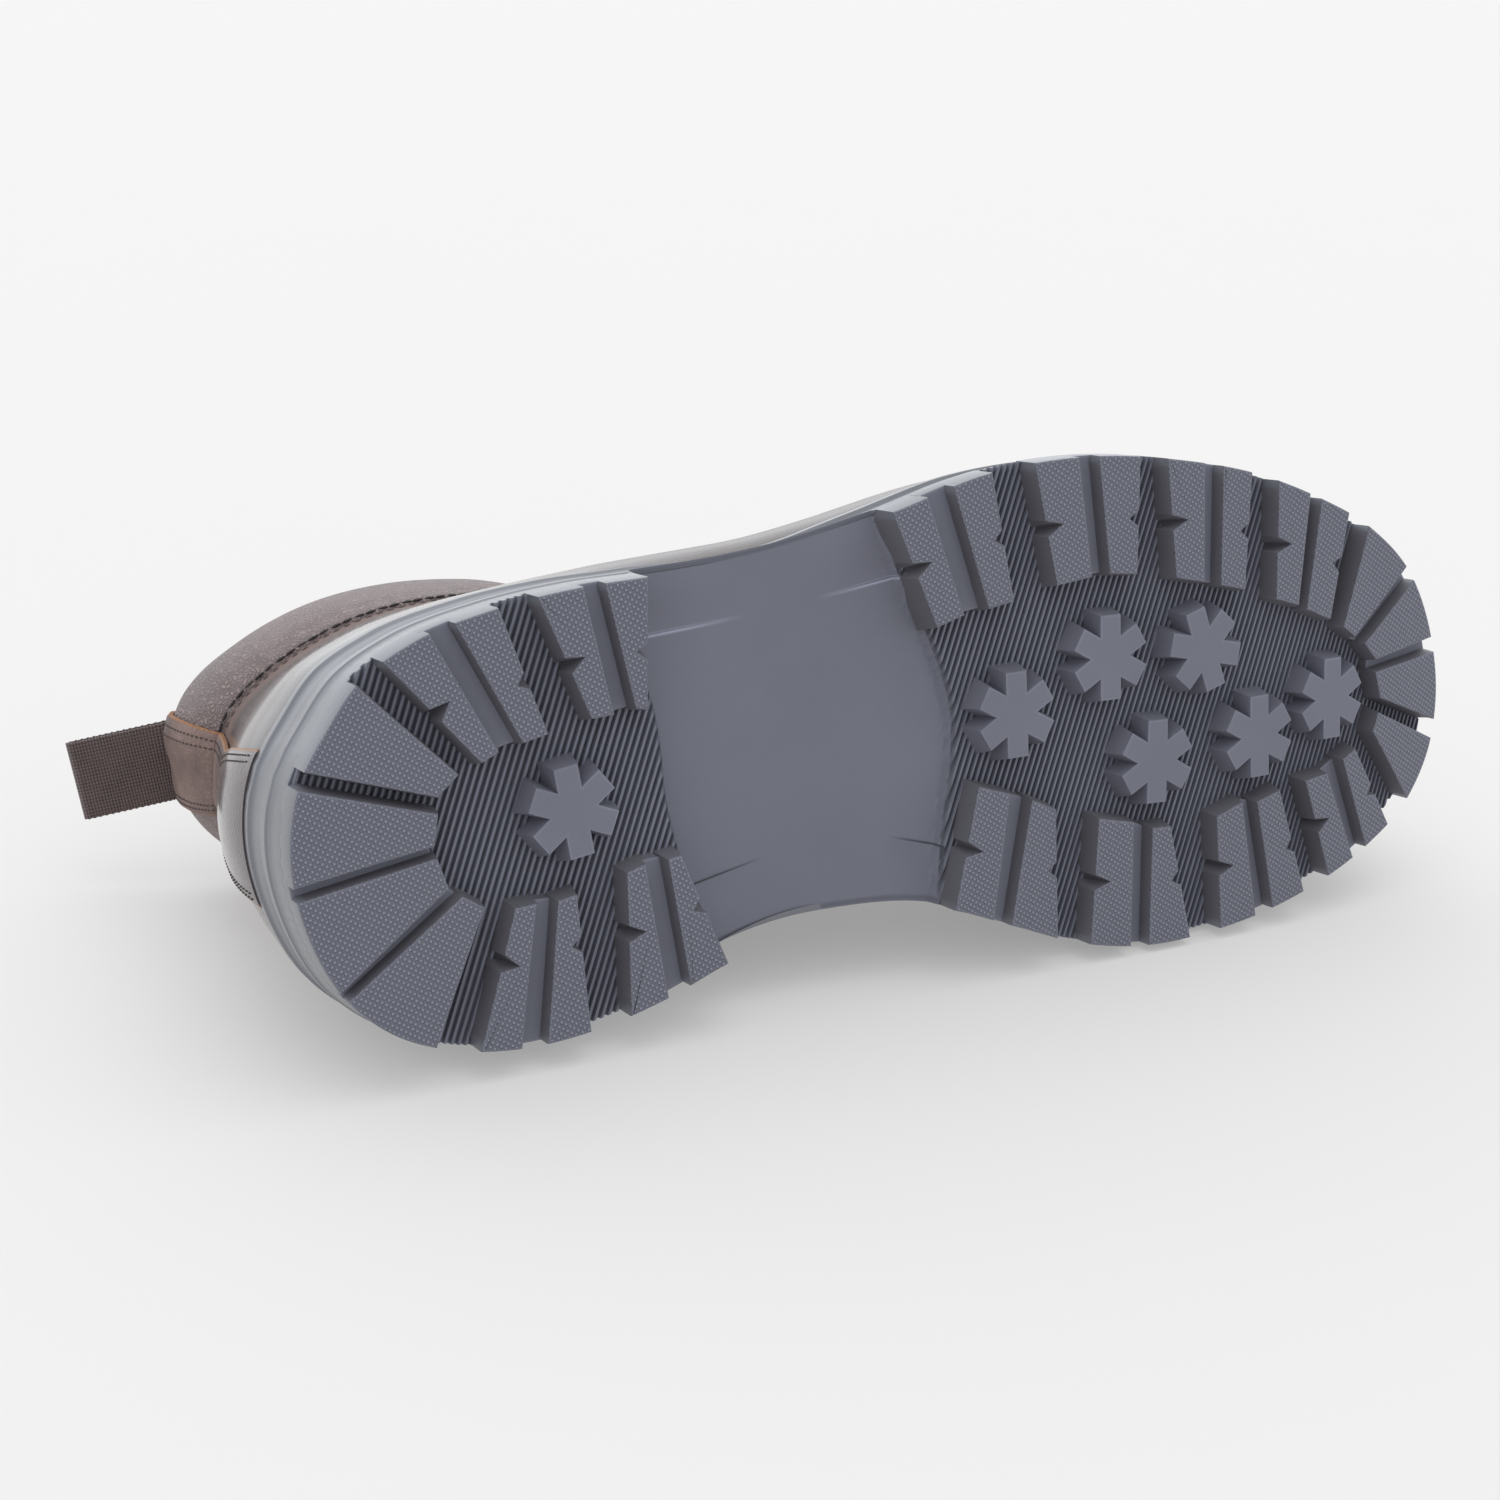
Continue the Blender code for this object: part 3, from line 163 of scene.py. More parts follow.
# Lugs. Columns: x, y of the outer corner nearer the heel, of the outer corner nearer the toe, and of the two
# inner corners, the one nearer the toe first.
LUGS = (
    (14, -24, 2.5, -6.5, 31.5, 1.5, 36.3, -3),
    (0.5, -3, -1, 18, 30.5, 12, 31.5, 5),
    (0, 21, 9, 41.5, 33.5, 21.5, 31, 14.5),
    (10.5, 43.5, 30, 56, 41.5, 26.5, 36.5, 23.5),
    (20, -28.5, 30.5, -33.5, 45.5, -7, 41.5, -5),
    (36, -35.5, 46, -38, 57, -10, 51, -8.5),
    (55, -39.5, 65.5, -41.5, 72.5, -13, 67, -12.5),
    (70.5, -42, 80.7, -43, 80.5, -13.5, 77.5, -14),
    (40, 58.5, 49.5, 59.5, 53.5, 27, 48.5, 27.5),
    (55.5, 58.3, 66, 57.5, 63, 26, 58.5, 27),
    (75.5, 55, 85, 52.5, 79.5, 21, 75, 22.5),
    (90.5, 50.5, 99.9, 46.1, 88.3, 19.9, 85, 20.5),
    (142, -54, 151, -57.5, 161.5, -29.5, 154, -27),
    (158, -59, 168.5, -62, 175, -32, 168, -30.5),
    (180, -63.5, 192.5, -65, 197, -36.5, 187, -35),
    (198, -65, 210, -64.5, 210, -36.5, 202, -37),
    (218, -64, 229, -62, 230, -33.5, 221.5, -35),
    (234.5, -61.5, 243.5, -60, 242.5, -31, 235, -32.5),
    (252, -57.5, 262.5, -54, 260, -26, 252.5, -28),
    (266.4, -52.3, 276, -48.2, 271, -21.7, 262.7, -24.8),
    (283.4, -44.7, 298, -33, 280, -16.6, 275.7, -19.4),
    (301.5, -29.7, 309.5, -14, 288, -10, 283.5, -14.5),
    (310.3, -10, 312, 8, 290.2, 0.2, 288, -6.8),
    (311.5, 13, 303, 28.4, 288, 8.8, 289.7, 3.8),
    (287.4, 39.4, 295.8, 34.7, 281.8, 12.6, 277.4, 15),
    (274, 45.5, 282.8, 41.8, 272, 18, 264.4, 19.2),
    (255, 51, 265.5, 48.3, 256, 20.6, 248.6, 23),
    (238.5, 54.5, 249.5, 52.5, 244, 22.5, 236, 25.5),
    (216.5, 56.2, 229, 55.5, 222, 26.5, 216.5, 26.5),
    (199, 54, 211, 56, 211, 24.5, 200.5, 22.5),
    (176, 46.5, 189.5, 51, 188, 19, 181, 16),
    (160, 41, 171, 44.5, 175, 14, 166, 11.5),
)
# Notches cut into the sides of lugs. Columns: lug number, y on the side towards the heel, y on the side
# towards the toe, with zero for none, and the depth.
NOTCHES = (
    (4, -16, 0, 4.2), (5, 0, -22, 2.4), (6, -24.5, 0, 4.2), (7, 0, -26.5, 2.6),
    (8, 39.5, 0, 4.2), (9, 0, 37.5, 2.4), (10, 36.5, 0, 4.2), (11, 0, 32, 2.6),
    (12, -40.5, 0, 4.6), (13, 0, -47, 2.4), (14, -48.5, 0, 4.6), (15, 0, -50, 2.6),
    (16, -48.5, 0, 4.6), (17, 0, -45.5, 2.4), (18, -41.5, 0, 4.6), (19, 0, -35.5, 2.6),
    (31, 26.5, 0, 4.6), (30, 0, 34, 2.4), (29, 38.5, 0, 4.6), (28, 0, 40, 2.6),
    (27, 39, 0, 4.6), (26, 0, 35.5, 2.4), (25, 31.5, 0, 4.6), (24, 0, 24, 2.6),
)
NOTCH_HALF = 1.9
# Shallow channels with a smooth floor. Columns: the lug whose second side faces the channel, the lug whose
# first side does.
CHANNELS = (
    (1, 2), (2, 3), (4, 5), (6, 7), (8, 9), (10, 11), (12, 13), (14, 15), (16, 17), (18, 19), (20, 21),
    (21, 22), (25, 24), (27, 26), (29, 28), (31, 30),
)
CHANNEL_DEPTH = 3.9
CHANNEL_LAP = 0.9
CHANNEL_RIM_POINTS = 8
LUG_DRAFT = 1.2
LUG_ROOT = 1.6
LUG_INSET = -0.03
LUG_RIM_POINTS = 14
LUG_SIDE_POINTS = 13
LUG_END_POINTS = 5
# Rings of a lug or stud from its root to its top. Columns: height from the tread, growth of the outline,
# whether the draft counts, share of the top's finish, share of the painted highlight on the top edge.
BLOCK_RINGS = (
    (LUG_DEPTH + LUG_ROOT, 0.0, 1.0, 0.0, 0.0), (0.42, 0.0, 0.0, 0.0, 0.2), (0.12, -0.10, 0.0, 0.4, 1.0),
    (0.0, -0.40, 0.0, 1.0, 0.4), (0.0, -0.75, 0.0, 1.0, 0.0),
)
LEAST_MITRE = 0.6

# Raised dots on the lugs: turn in degrees, height of the crossed waves where a dot begins and is full, and
# the tones between and on the dots, painted shade between them and a painted highlight on them.
KNURL_TURN = 31.0
KNURL_DOTS = (-0.6, 1.4)
KNURL_TONES = (0.80, 1.57)
# Other tones of the sole: share of the rubber's colour, and how far it is mixed in. They paint light and shade:
# painted shade in the grooves between the ribs, along the waist's rim and on the flanks, a painted highlight on
# the top edges of the lugs and studs, and a painted lit and a painted shaded line along the waist's steps.
GROOVE_TONE, GROOVE_MIX = 0.40, 0.62
RIM_TONE, RIM_MIX = 0.40, 2.2
EDGE_TONE, EDGE_MIX = 1.8, 0.5
LIT_TONE, LIT_MIX = 2.4, 0.9
SHADED_TONE, SHADED_MIX = 0.5, 0.2
FLANK_MIX = 0.6

# Star studs. Columns: x, y, angle of the first arm in degrees.
STUDS = (
    (62.6, 7.6, 19.3), (176.4, -4.9, 27), (202.8, -16.8, 28), (217.4, 9.9, 29.5),
    (231, -16.9, 10), (248.7, 6.2, 27), (272.7, -1.4, 28),
)
STUD_ARMS = 6
# Share of the flanks' darker tone, a painted shade, that the studs have.
STUD_FLANK_SHADE = 0.3
STUD_ARM_WIDTH = 5.9
STUD_RADIUS = 10.8
STUD_DRAFT = 1.5

# Sections of the upper from the toe to the back of the heel. Columns: foot x on the outer and the inner side,
# top edge x, its outer y, inner y and z, then how far the wall swells out on the outer and the inner side and
# rises from the sole, and how far the handle at the top edge reaches out towards the foot and drops.
UPPER_SECTIONS = (
    (312, 312, 191, -4, -4, 88, 4, 4, 44, 52, 16),
    (299, 301, 190, -9.5, 1.5, 88.3, 3.5, 3.5, 41, 49, 16),
    (279, 278, 187, -13, 5, 89.5, 3, 3, 37, 43, 15.5),
    (240, 238, 178, -16.5, 8.5, 93.5, 2, 2, 31, 35, 15),
    (203, 203, 163, -18.5, 11, 100.5, 1, 1.5, 27, 27, 17),
    (167, 168, 143, -20, 14.5, 109, 0, 4, 24, 17, 22),
    (138, 140, 122, -20.5, 20, 114.5, 4, 7, 22, 7, 27),
    (110, 114, 104, -24, 30, 104, 9, 5, 20, 3, 26),
    (84, 86, 84, -28, 37.5, 96, 4.5, 1, 19, 2, 25),
    (62, 62, 62, -28.4, 41, 91.5, 0.5, -0.5, 18, 2, 25),
    (38, 38, 41, -24, 39.5, 90, 0.5, 0.5, 18, 2, 25),
    (17, 18, 23.5, -14.8, 33, 90.3, 2, 2, 18, 2, 25),
    (4, 5, 12, -3.5, 23.5, 91.5, 3.5, 3.5, 18, 2.5, 26),
    (-1, -1, 9, 12.3, 12.3, 92.5, 5, 5, 18, 3, 27),
)
FEATHER_INSET = 1.2
TOP_TURN = 6.0
FOOT_LINE = (40.0, 240.0, -2.0, 45.0)
UPPER_WALL = 2.0
UPPER_ROUND = 400
# Distances below the top line where the rows of the upper lie, then the count of even rows down to the sole.
UPPER_TOP_ROWS = (0.0, 0.3, 0.8, 1.6, 2.8, 4.0, 4.8, 5.2, 5.5, 5.8, 6.1, 6.6, 7.6, 9.5, 12.0, 15.0, 19.0)
UPPER_EVEN_ROWS = 30
UPPER_INNER_STEP = 3
WALK_STEP = 12.0
UP_STEP = 0.02
VAMP_SECTION = 2
THROAT_SECTION = 6
HEEL_SECTION = 13
# Flex creases over the vamp. Columns: x at the middle, depth, half width.
VAMP_CREASES = ((214.0, 0.55, 3.6), (226.0, 0.85, 4.2), (239.0, 0.6, 4.0))
VAMP_CREASE_BOW = 0.006
VAMP_CREASE_HEIGHT = (34.0, 60.0)
# Ridge before each crease: share of the crease's depth, millimetres ahead.
VAMP_RIDGE = (0.4, 5.0)

# Section of the padded collar. Columns: millimetres out from the seam, share of the collar's height.
COLLAR_SECTION = (
    (0, 0), (3, 0.16), (4.6, 0.42), (4.2, 0.70), (1.6, 0.93), (-2, 1.00), (-5.5, 0.92),
    (-8, 0.68), (-8.4, 0.38), (-6.6, 0.14), (-3.2, 0),
)
COLLAR_HEIGHT = 33.0
COLLAR_FRONT_HEIGHT = 17.0
COLLAR_LEVEL = 0.7
COLLAR_ROUND = 260
COLLAR_POINTS = 72
COLLAR_END_RINGS = ((0.93, 0.9), (0.72, 1.7), (0.38, 2.2))
# Puckers along the collar's seam: pitch, depth, reach from the seam, and the drift of the pitch.
PUCKER_PITCH = 7.0
PUCKER_DEPTH = 0.22
PUCKER_REACH = 7.0
PUCKER_DRIFT = (1.3, 11.0)
ANKLE_LINE = (45.0, 90.0, 6.0)
# Padding round the collar. Columns: share of the way from the back to the throat, below zero on the outer
# side, then the swell of the padding's outer and inner face.
COLLAR_PADDING = (
    (-1, 0.40, 0.6), (-0.70, 0.42, 0.9), (-0.50, 0.52, 1), (-0.34, 0.82, 1), (-0.16, 1.20, 1),
    (-0.07, 1.50, 0.95), (0, 0.95, 0.85), (0.08, 0.85, 0.95), (0.20, 0.90, 1), (0.45, 0.85, 1),
    (0.70, 0.72, 0.9), (1, 0.60, 0.6),
)

# Strip up the back seam. Columns: share of the way up the back, half width.
STRIP_WIDTHS = ((0.0, 17.5), (0.3, 15.0), (0.5, 12.3), (0.78, 9.4), (1.0, 9.6))
STRIP_HALF = STRIP_WIDTHS[-1][1]
STRIP_THICK = 1.3
STRIP_ACROSS = 29
STRIP_UPPER_ROWS = 70
STRIP_COLLAR_ROWS = 34
STRIP_TOP_CORNER = 4
STRIP_FOOT = 0.003
STRIP_STITCH_INSETS = (1.6, 3.0)
# Cut edges of the leather: width, the run over which they start, and how far they are pressed down.
RAW_EDGE_WIDTH = 0.75
RAW_EDGE_RUN = 0.5
EDGE_DROP = 0.45
# Polish: where along the boot it fades on the upper and how much of it goes there, then the shares of the way
# up the back between which it fades on the strip. It sets the glossy coat and a pale painted reflection.
SHINE_FADE = (45.0, 95.0)
SHINE_LOSS = 0.4
POLISH_FADE = (0.86, 1.0)

# Pull loop of flat tape.
LOOP_WIDTH = 20.0
LOOP_LENGTH = 25.0
LOOP_RISE = 7.0
LOOP_TURN = 11.0
LOOP_TAPE = 1.2
LOOP_OPEN = 1.6
LOOP_OUT = 0.5
LOOP_LIFT = 1.3
LOOP_ROWS = 110
LOOP_BEND_ROWS = 17
LOOP_ACROSS = 15
LOOP_SCALLOP = 0.22
LOOP_PULL_RUN = 2.0
SELVEDGE_WIDTH = 0.9
SELVEDGE_THIN = 0.35
# Cords of the tape in centimetres: the distance between two cords, between two crossings, and the sewn root.
TAPE_CORD = 0.085
TAPE_CROSSING = 0.075
TAPE_ROOT = (0.42, 0.50)
# Threads of the lining in centimetres, and the strands of the lace along and round it.
LINING_PITCH = 0.10
LACE_STRANDS = (4.2, 6.0)

# Footbed.
INSOLE_THICK = 3.0
INSOLE_ACROSS = 21
INSOLE_ROWS = 120
INSOLE_INSET = UPPER_WALL + FEATHER_INSET + 1.4
INSOLE_ENDS = (6.0, 303.0)
INSOLE_CUP = 2.2
INSOLE_CUP_POWER = 5

# Tongue under the throat.
TONGUE_THICK = 3.0
TONGUE_CLEAR = 1.3
TONGUE_CROWN = 2.0
TONGUE_ROWS = 9
TONGUE_LINES = (0.90, 0.95, 1.0)
VAMP_SPAN = (0.88, 1.0)
TONGUE_FORWARD = 14.0
TONGUE_DROP = 3.2
TONGUE_END = ((11.0, 14.0), (24.0, 13.5), (36.0, 12.5))
TONGUE_TURN = (0.45, 0.9)
TONGUE_FINE = (90, 40)
TONGUE_HALF_SHEET = 15.0
# Rounded rim of the tongue: depth, then its share of the half width and of the length.
TONGUE_RIM = (0.9, 0.12, 0.035)

# Facings, eyelets and lace.
FACING_SEAT = 0.62
FACING_THICK = 1.2
FACING_WIDTH = 17.0
FACING_FINE = (110, 26)
FACING_TOP = FACING_SEAT + FACING_THICK
# Rounded rim of the facings: width, then its share of the length.
FACING_RIM = (0.9, 0.015)
FACING_STITCH_INSETS = (1.8, 15.0)
EYELET_PAIRS = 5
EYELET_OUTER = 4.2
EYELET_INNER = 2.3
EYELET_THICK = 1.0
EYELET_FROM_EDGE = 9.0
EYELET_SEGMENTS = 36
EYELET_PROFILE = 12
EYELET_ROUNDING = 0.8
EYELET_SEAT = 0.15
ACROSS_BOOT = (0.3, 1.0, 0.2)
OVER_INSTEP = (0.35, 0.1, 1.0)
LACE_RADIUS = 1.5
LACE_HEIGHT = 4.6
LACE_SIDES = 14
LACE_STEPS = 64
LACE_FLATTEN = 1.06
# Stops of the lace: the bar from an eyelet to the throat's edge, then the start and the end of a crossing,
# whose middle is the mean of the start's last stop and the end's first. Columns: share of the way to the next
# eyelet, distance below the top line, height over the upper.
LACE_BAR_STOPS = (
    (0.0, EYELET_FROM_EDGE + 0.4, FACING_TOP - 0.6), (0.0, EYELET_FROM_EDGE - 0.6, FACING_TOP + 2.0),
    (0.0, EYELET_FROM_EDGE - 3.2, LACE_HEIGHT - 0.6), (0.0, 0.0, LACE_HEIGHT - 0.6),
)
LACE_START_STOPS = ((0.375, 1.0, -0.6 * UPPER_WALL), (0.5, -1.6, 0.6), (0.5, 0.0, LACE_HEIGHT))
LACE_END_STOPS = (
    (0.75, 0.0, LACE_HEIGHT), (0.92, 0.0, LACE_HEIGHT - 0.4),
    (1.0, EYELET_FROM_EDGE - 3.2, LACE_HEIGHT - 0.7), (1.0, EYELET_FROM_EDGE - 0.6, FACING_TOP + 1.8),
    (1.0, EYELET_FROM_EDGE + 0.4, FACING_TOP - 0.6),
)
# How far the first crossing of a pair is lifted and the second lowered, in radii.
LACE_PARTING = (0.8, -0.9)

# Stitches: angles of the rings, points of a ring, seat over the leather, points left off a row's ends.
STITCH_RINGS = (0.35, 1.2, 1.94, 2.79)
STITCH_SIDES = 6
STITCH_SEAT = 0.06
STITCH_TRIM = 2
# Rows of stitches. Columns: length, gap, radius.
SEAM_STITCH = (3.0, 0.15, 0.42)
BAND_STITCH = (1.7, 1.2, 0.26)
STRIP_STITCH = (1.05, 0.45, 0.24)
# Row along the collar's seam: rise round the padding, step to its neighbours, steps left free, points.
SEAM_RISE = 1.1
SEAM_STEP = 0.6
SEAM_ENDS = 30
SEAM_POINTS = 700
# Row along the band under the collar: drop from the top line, seat, steps left free, points.
BAND_DROP = 2.2
BAND_SEAT = 0.05
BAND_ENDS = 90
BAND_POINTS = 900
BAND_END_RUN = 60

# Angles in degrees over which an edge stays sharp.
BODY_CREASE = 32.0
TREAD_CREASE = 38.0
TAPE_CREASE = 45.0
LEATHER_CREASE = 50.0
SOFT_CREASE = 60.0


# Shapes.

def unit(vectors):
    return vectors / np.linalg.norm(vectors, axis=-1, keepdims=True)


def ease(values):
    """Soft step from 0 to 1: t squared times (3 - 2t), with t held between 0 and 1."""
    t = np.clip(values, 0.0, 1.0)
    return t * t * (3 - 2 * t)


def ramp(values, low, high):
    """Soft step from 0 at low to 1 at high."""
    return ease((values - low) / (high - low))


def cubic(t, span, first, last, slope, last_slope):
    """Cubic from first to last over a span, at the share t of it, with the slopes at its two ends: first,
    plus t times the span and slope, plus a square and a cube term that meet the last value and slope."""
    rise = last - first
    return (first + t * span * slope + t * t * (3 * rise - span * (2 * slope + last_slope))
            + t ** 3 * (span * (slope + last_slope) - 2 * rise))


def smooth(at, knots, values):
    """Cubic curve through the knots: each span's end slopes are the mean of the neighbouring rates, and zero
    where those turn, so the curve never overshoots."""
    knots = np.asarray(knots, float)
    values = np.asarray(values, float)
    steps = np.diff(knots)
    rates = np.diff(values) / steps
    slopes = np.concatenate([rates[:1], (rates[:-1] + rates[1:]) / 2, rates[-1:]])
    flat = rates[:-1] * rates[1:] <= 0
    slopes[1:-1][flat] = 0.0
    cell = np.clip(np.searchsorted(knots, at, side="right") - 1, 0, len(steps) - 1)
    t = np.clip((at - knots[cell]) / steps[cell], 0.0, 1.0)
    return cubic(t, steps[cell], values[cell], values[cell + 1], slopes[cell], slopes[cell + 1])


def ring_knots(corners):
    """Distance of each corner of a closed outline from the first one, and the way all round."""
    chords = np.linalg.norm(np.roll(corners, -1, axis=0) - corners, axis=1)
    return np.concatenate([[0.0], np.cumsum(chords)[:-1]]), chords.sum()


def ring_curve(rows, knots, period, at):
    """Closed cubic curve through rows placed at knots round a loop: the slope at a row weighs the rates
    before and after it by the other span's length."""
    rows = np.asarray(rows, float)
    span = np.diff(np.append(knots, knots[0] + period))
    ahead = (np.roll(rows, -1, axis=0) - rows) / span[:, None]
    before = np.roll(ahead, 1, axis=0)
    span_before = np.roll(span, 1)
    slope = (ahead * span_before[:, None] + before * span[:, None]) / (span + span_before)[:, None]
    at = np.mod(np.asarray(at, float) - knots[0], period) + knots[0]
    cell = np.clip(np.searchsorted(knots, at, side="right") - 1, 0, len(knots) - 1)
    following = (cell + 1) % len(knots)
    t = ((at - knots[cell]) / span[cell])[..., None]
    return cubic(t, span[cell][..., None], rows[cell], rows[following], slope[cell], slope[following])


def through(rows, count):
    """Cubic curve through evenly spaced rows, sampled count times: the slope at a row is half the step
    between its neighbours."""
    rows = np.asarray(rows, float)
    slope = np.gradient(rows, axis=0)
    at = np.linspace(0, len(rows) - 1, count)
    cell = np.minimum(at.astype(int), len(rows) - 2)
    t = (at - cell).reshape((-1,) + (1,) * (rows.ndim - 1))
    return cubic(t, 1.0, rows[cell], rows[cell + 1], slope[cell], slope[cell + 1])


def turns(count):
    """Even angles round a circle."""
    return np.arange(count) * 2 * math.pi / count


def laid(points):
    """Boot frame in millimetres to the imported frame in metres: the rest turn, then the shift to the floor."""
    return np.asarray(points, float) * MM @ REST_TURN.T + np.array(REST_SHIFT)


def face_normals(points):
    """Normals of a grid of points: the cross product of the steps along its rows and its columns."""
    return unit(np.cross(np.gradient(points, axis=0), np.gradient(points, axis=1)))


class Shell:
    """Points, faces, surface coordinates and masks gathered into one mesh."""

    def __init__(self):
        self.points, self.faces, self.sheet, self.masks = [], [], [], []
        self.count = 0

    def add(self, points, faces, sheet=None, **masks):
        """Adds points with faces numbered from the first of them."""
        points = np.asarray(points, float).reshape(-1, 3)
        self.points.append(points)
        self.sheet.append(np.zeros((len(points), 2)) if sheet is None else np.asarray(sheet).reshape(-1, 2))
        self.masks.append({name: np.asarray(value, float).reshape(-1) for name, value in masks.items()})
        self.faces += [np.asarray(face) + self.count for face in faces]
        self.count += len(points)

    def plate(self, near, far, sheet, **masks):
        """Closed plate between two grids of points of the same size, with a rim of quads."""
        rows, columns = near.shape[:2]
        count = rows * columns
        number = np.arange(count).reshape(rows, columns)
        rim = np.concatenate([number[0], number[1:, -1], number[-1, -2::-1], number[-2:0:-1, 0]])
        ahead = np.roll(rim, -1)
        faces = [grid_quads(rows, columns), grid_quads(rows, columns)[:, ::-1] + count,
                 np.stack([ahead, rim, rim + count, ahead + count], axis=1)]
        doubled = {name: np.stack([value, value]) for name, value in masks.items()}
        self.add(np.stack([near, far]), faces, np.stack([sheet, sheet]), **doubled)

    def tube(self, rings, sheet):
        """Closed tube through rings of points, with a flat face on each end."""
        rows, columns = rings.shape[:2]
        ends = np.stack([np.arange(columns)[::-1], (rows - 1) * columns + np.arange(columns)])
        self.add(rings, [grid_quads(rows, columns, closed=True), ends], sheet)

    def build(self, name, material, nodes, slot, crease=SOFT_CREASE):
        """Makes the object. Edges sharper than the crease angle in degrees stay sharp."""
        mesh = bpy.data.meshes.new(name)
        points = laid(np.concatenate(self.points))
        corners = np.concatenate([face.reshape(-1) for face in self.faces])
        sizes = np.concatenate([np.full(len(face), face.shape[1]) for face in self.faces])
        mesh.vertices.add(len(points))
        mesh.vertices.foreach_set("co", points.ravel())
        mesh.loops.add(len(corners))
        mesh.loops.foreach_set("vertex_index", corners.astype(np.int32))
        mesh.polygons.add(len(sizes))
        starts = np.cumsum(sizes) - sizes
        mesh.polygons.foreach_set("loop_start", starts.astype(np.int32))
        mesh.update(calc_edges=True)
        layer = mesh.uv_layers.new(name="surface")
        layer.uv.foreach_set("vector", np.concatenate(self.sheet)[corners].ravel())
        for mask in sorted({key for group in self.masks for key in group}):
            values = [group.get(mask, np.zeros(len(part))) for group, part in zip(self.masks, self.points)]
            mesh.attributes.new(mask, "FLOAT", "POINT").data.foreach_set("value", np.concatenate(values))
        shell = bmesh.new()
        shell.from_mesh(mesh)
        bmesh.ops.recalc_face_normals(shell, faces=shell.faces)
        shell.to_mesh(mesh)
        shell.free()
        mesh.polygons.foreach_set("use_smooth", np.ones(len(sizes), bool))
        mesh.set_sharp_from_angle(angle=math.radians(crease))
        mesh.materials.append(material)
        piece = bpy.data.objects.new(name, mesh)
        bpy.context.scene.collection.objects.link(piece)
        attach(piece, "root")
        if nodes:
            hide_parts(*nodes)
        return piece


def grid_quads(rows, columns, closed=False):
    """Corner numbers of the quads of a grid of points numbered row by row."""
    row, column = np.meshgrid(np.arange(rows - 1), np.arange(columns if closed else columns - 1),
                              indexing="ij")
    beside = (column + 1) % columns
    return np.stack([row * columns + column, row * columns + beside, (row + 1) * columns + beside,
                     (row + 1) * columns + column], axis=-1).reshape(-1, 4)


def sheet_grid(along, across):
    """Surface coordinates of a grid from the millimetres along its rows and across them."""
    return np.stack(np.meshgrid(along / SHEET_MM, across / SHEET_MM, indexing="ij"), axis=-1)


def reaches(path):
    """Distance of each point of a path from its start."""
    return np.concatenate([[0.0], np.cumsum(np.linalg.norm(np.diff(path, axis=0), axis=1))])


def along_path(path, values, at):
    """Values carried by a path's points, read off at distances along it by straight lines."""
    reach = reaches(path)
    return np.stack([np.interp(at, reach, values[:, axis]) for axis in range(values.shape[1])], axis=1)


def path_length(path):
    return float(np.linalg.norm(np.diff(path, axis=0), axis=1).sum())


def stitch_row(shell, path, normals, length, gap, radius):
    """Row of stitches along a path. The path is cut into even steps, and each carries one capsule: its middle
    plus half the length times cos a along the path, plus the radius times sin a round it."""
    total = path_length(path)
    count = max(int(total / (length + gap)), 1)
    middle = (np.arange(count) + 0.5) * total / count
    start, end = (along_path(path, path, middle + shift * length / 2) for shift in (-1, 1))
    along = unit(end - start)
    lift = unit(along_path(path, normals, middle))
    side = unit(np.cross(along, lift))
    a = np.array(STITCH_RINGS)[None, :, None, None]
    b = turns(STITCH_SIDES)[None, None, :, None]
    round_axis = side[:, None, None] * np.cos(b) + lift[:, None, None] * np.sin(b)
    points = ((start + end)[:, None, None] / 2 + along[:, None, None] * np.cos(a) * length / 2
              + round_axis * np.sin(a) * radius)
    rings = len(STITCH_RINGS)
    shift = (np.arange(count) * rings * STITCH_SIDES)[:, None, None]
    quads = (grid_quads(rings, STITCH_SIDES, closed=True)[None] + shift).reshape(-1, 4)
    ends = np.stack([np.arange(STITCH_SIDES)[::-1], (rings - 1) * STITCH_SIDES + np.arange(STITCH_SIDES)])
    caps = (ends[None] + shift).reshape(-1, STITCH_SIDES)
    sheet = np.broadcast_to(np.linspace(0, 1, rings)[None, :, None], points.shape[:3])
    shell.add(points, [quads, caps], np.stack([sheet, sheet], axis=-1))


def reached(run, along, values):
    """Sample numbers of a run where the values along it reach the given ones."""
    order = np.interp(values, np.maximum.accumulate(along[run]), np.arange(len(run)))
    return run[np.rint(order).astype(int)]


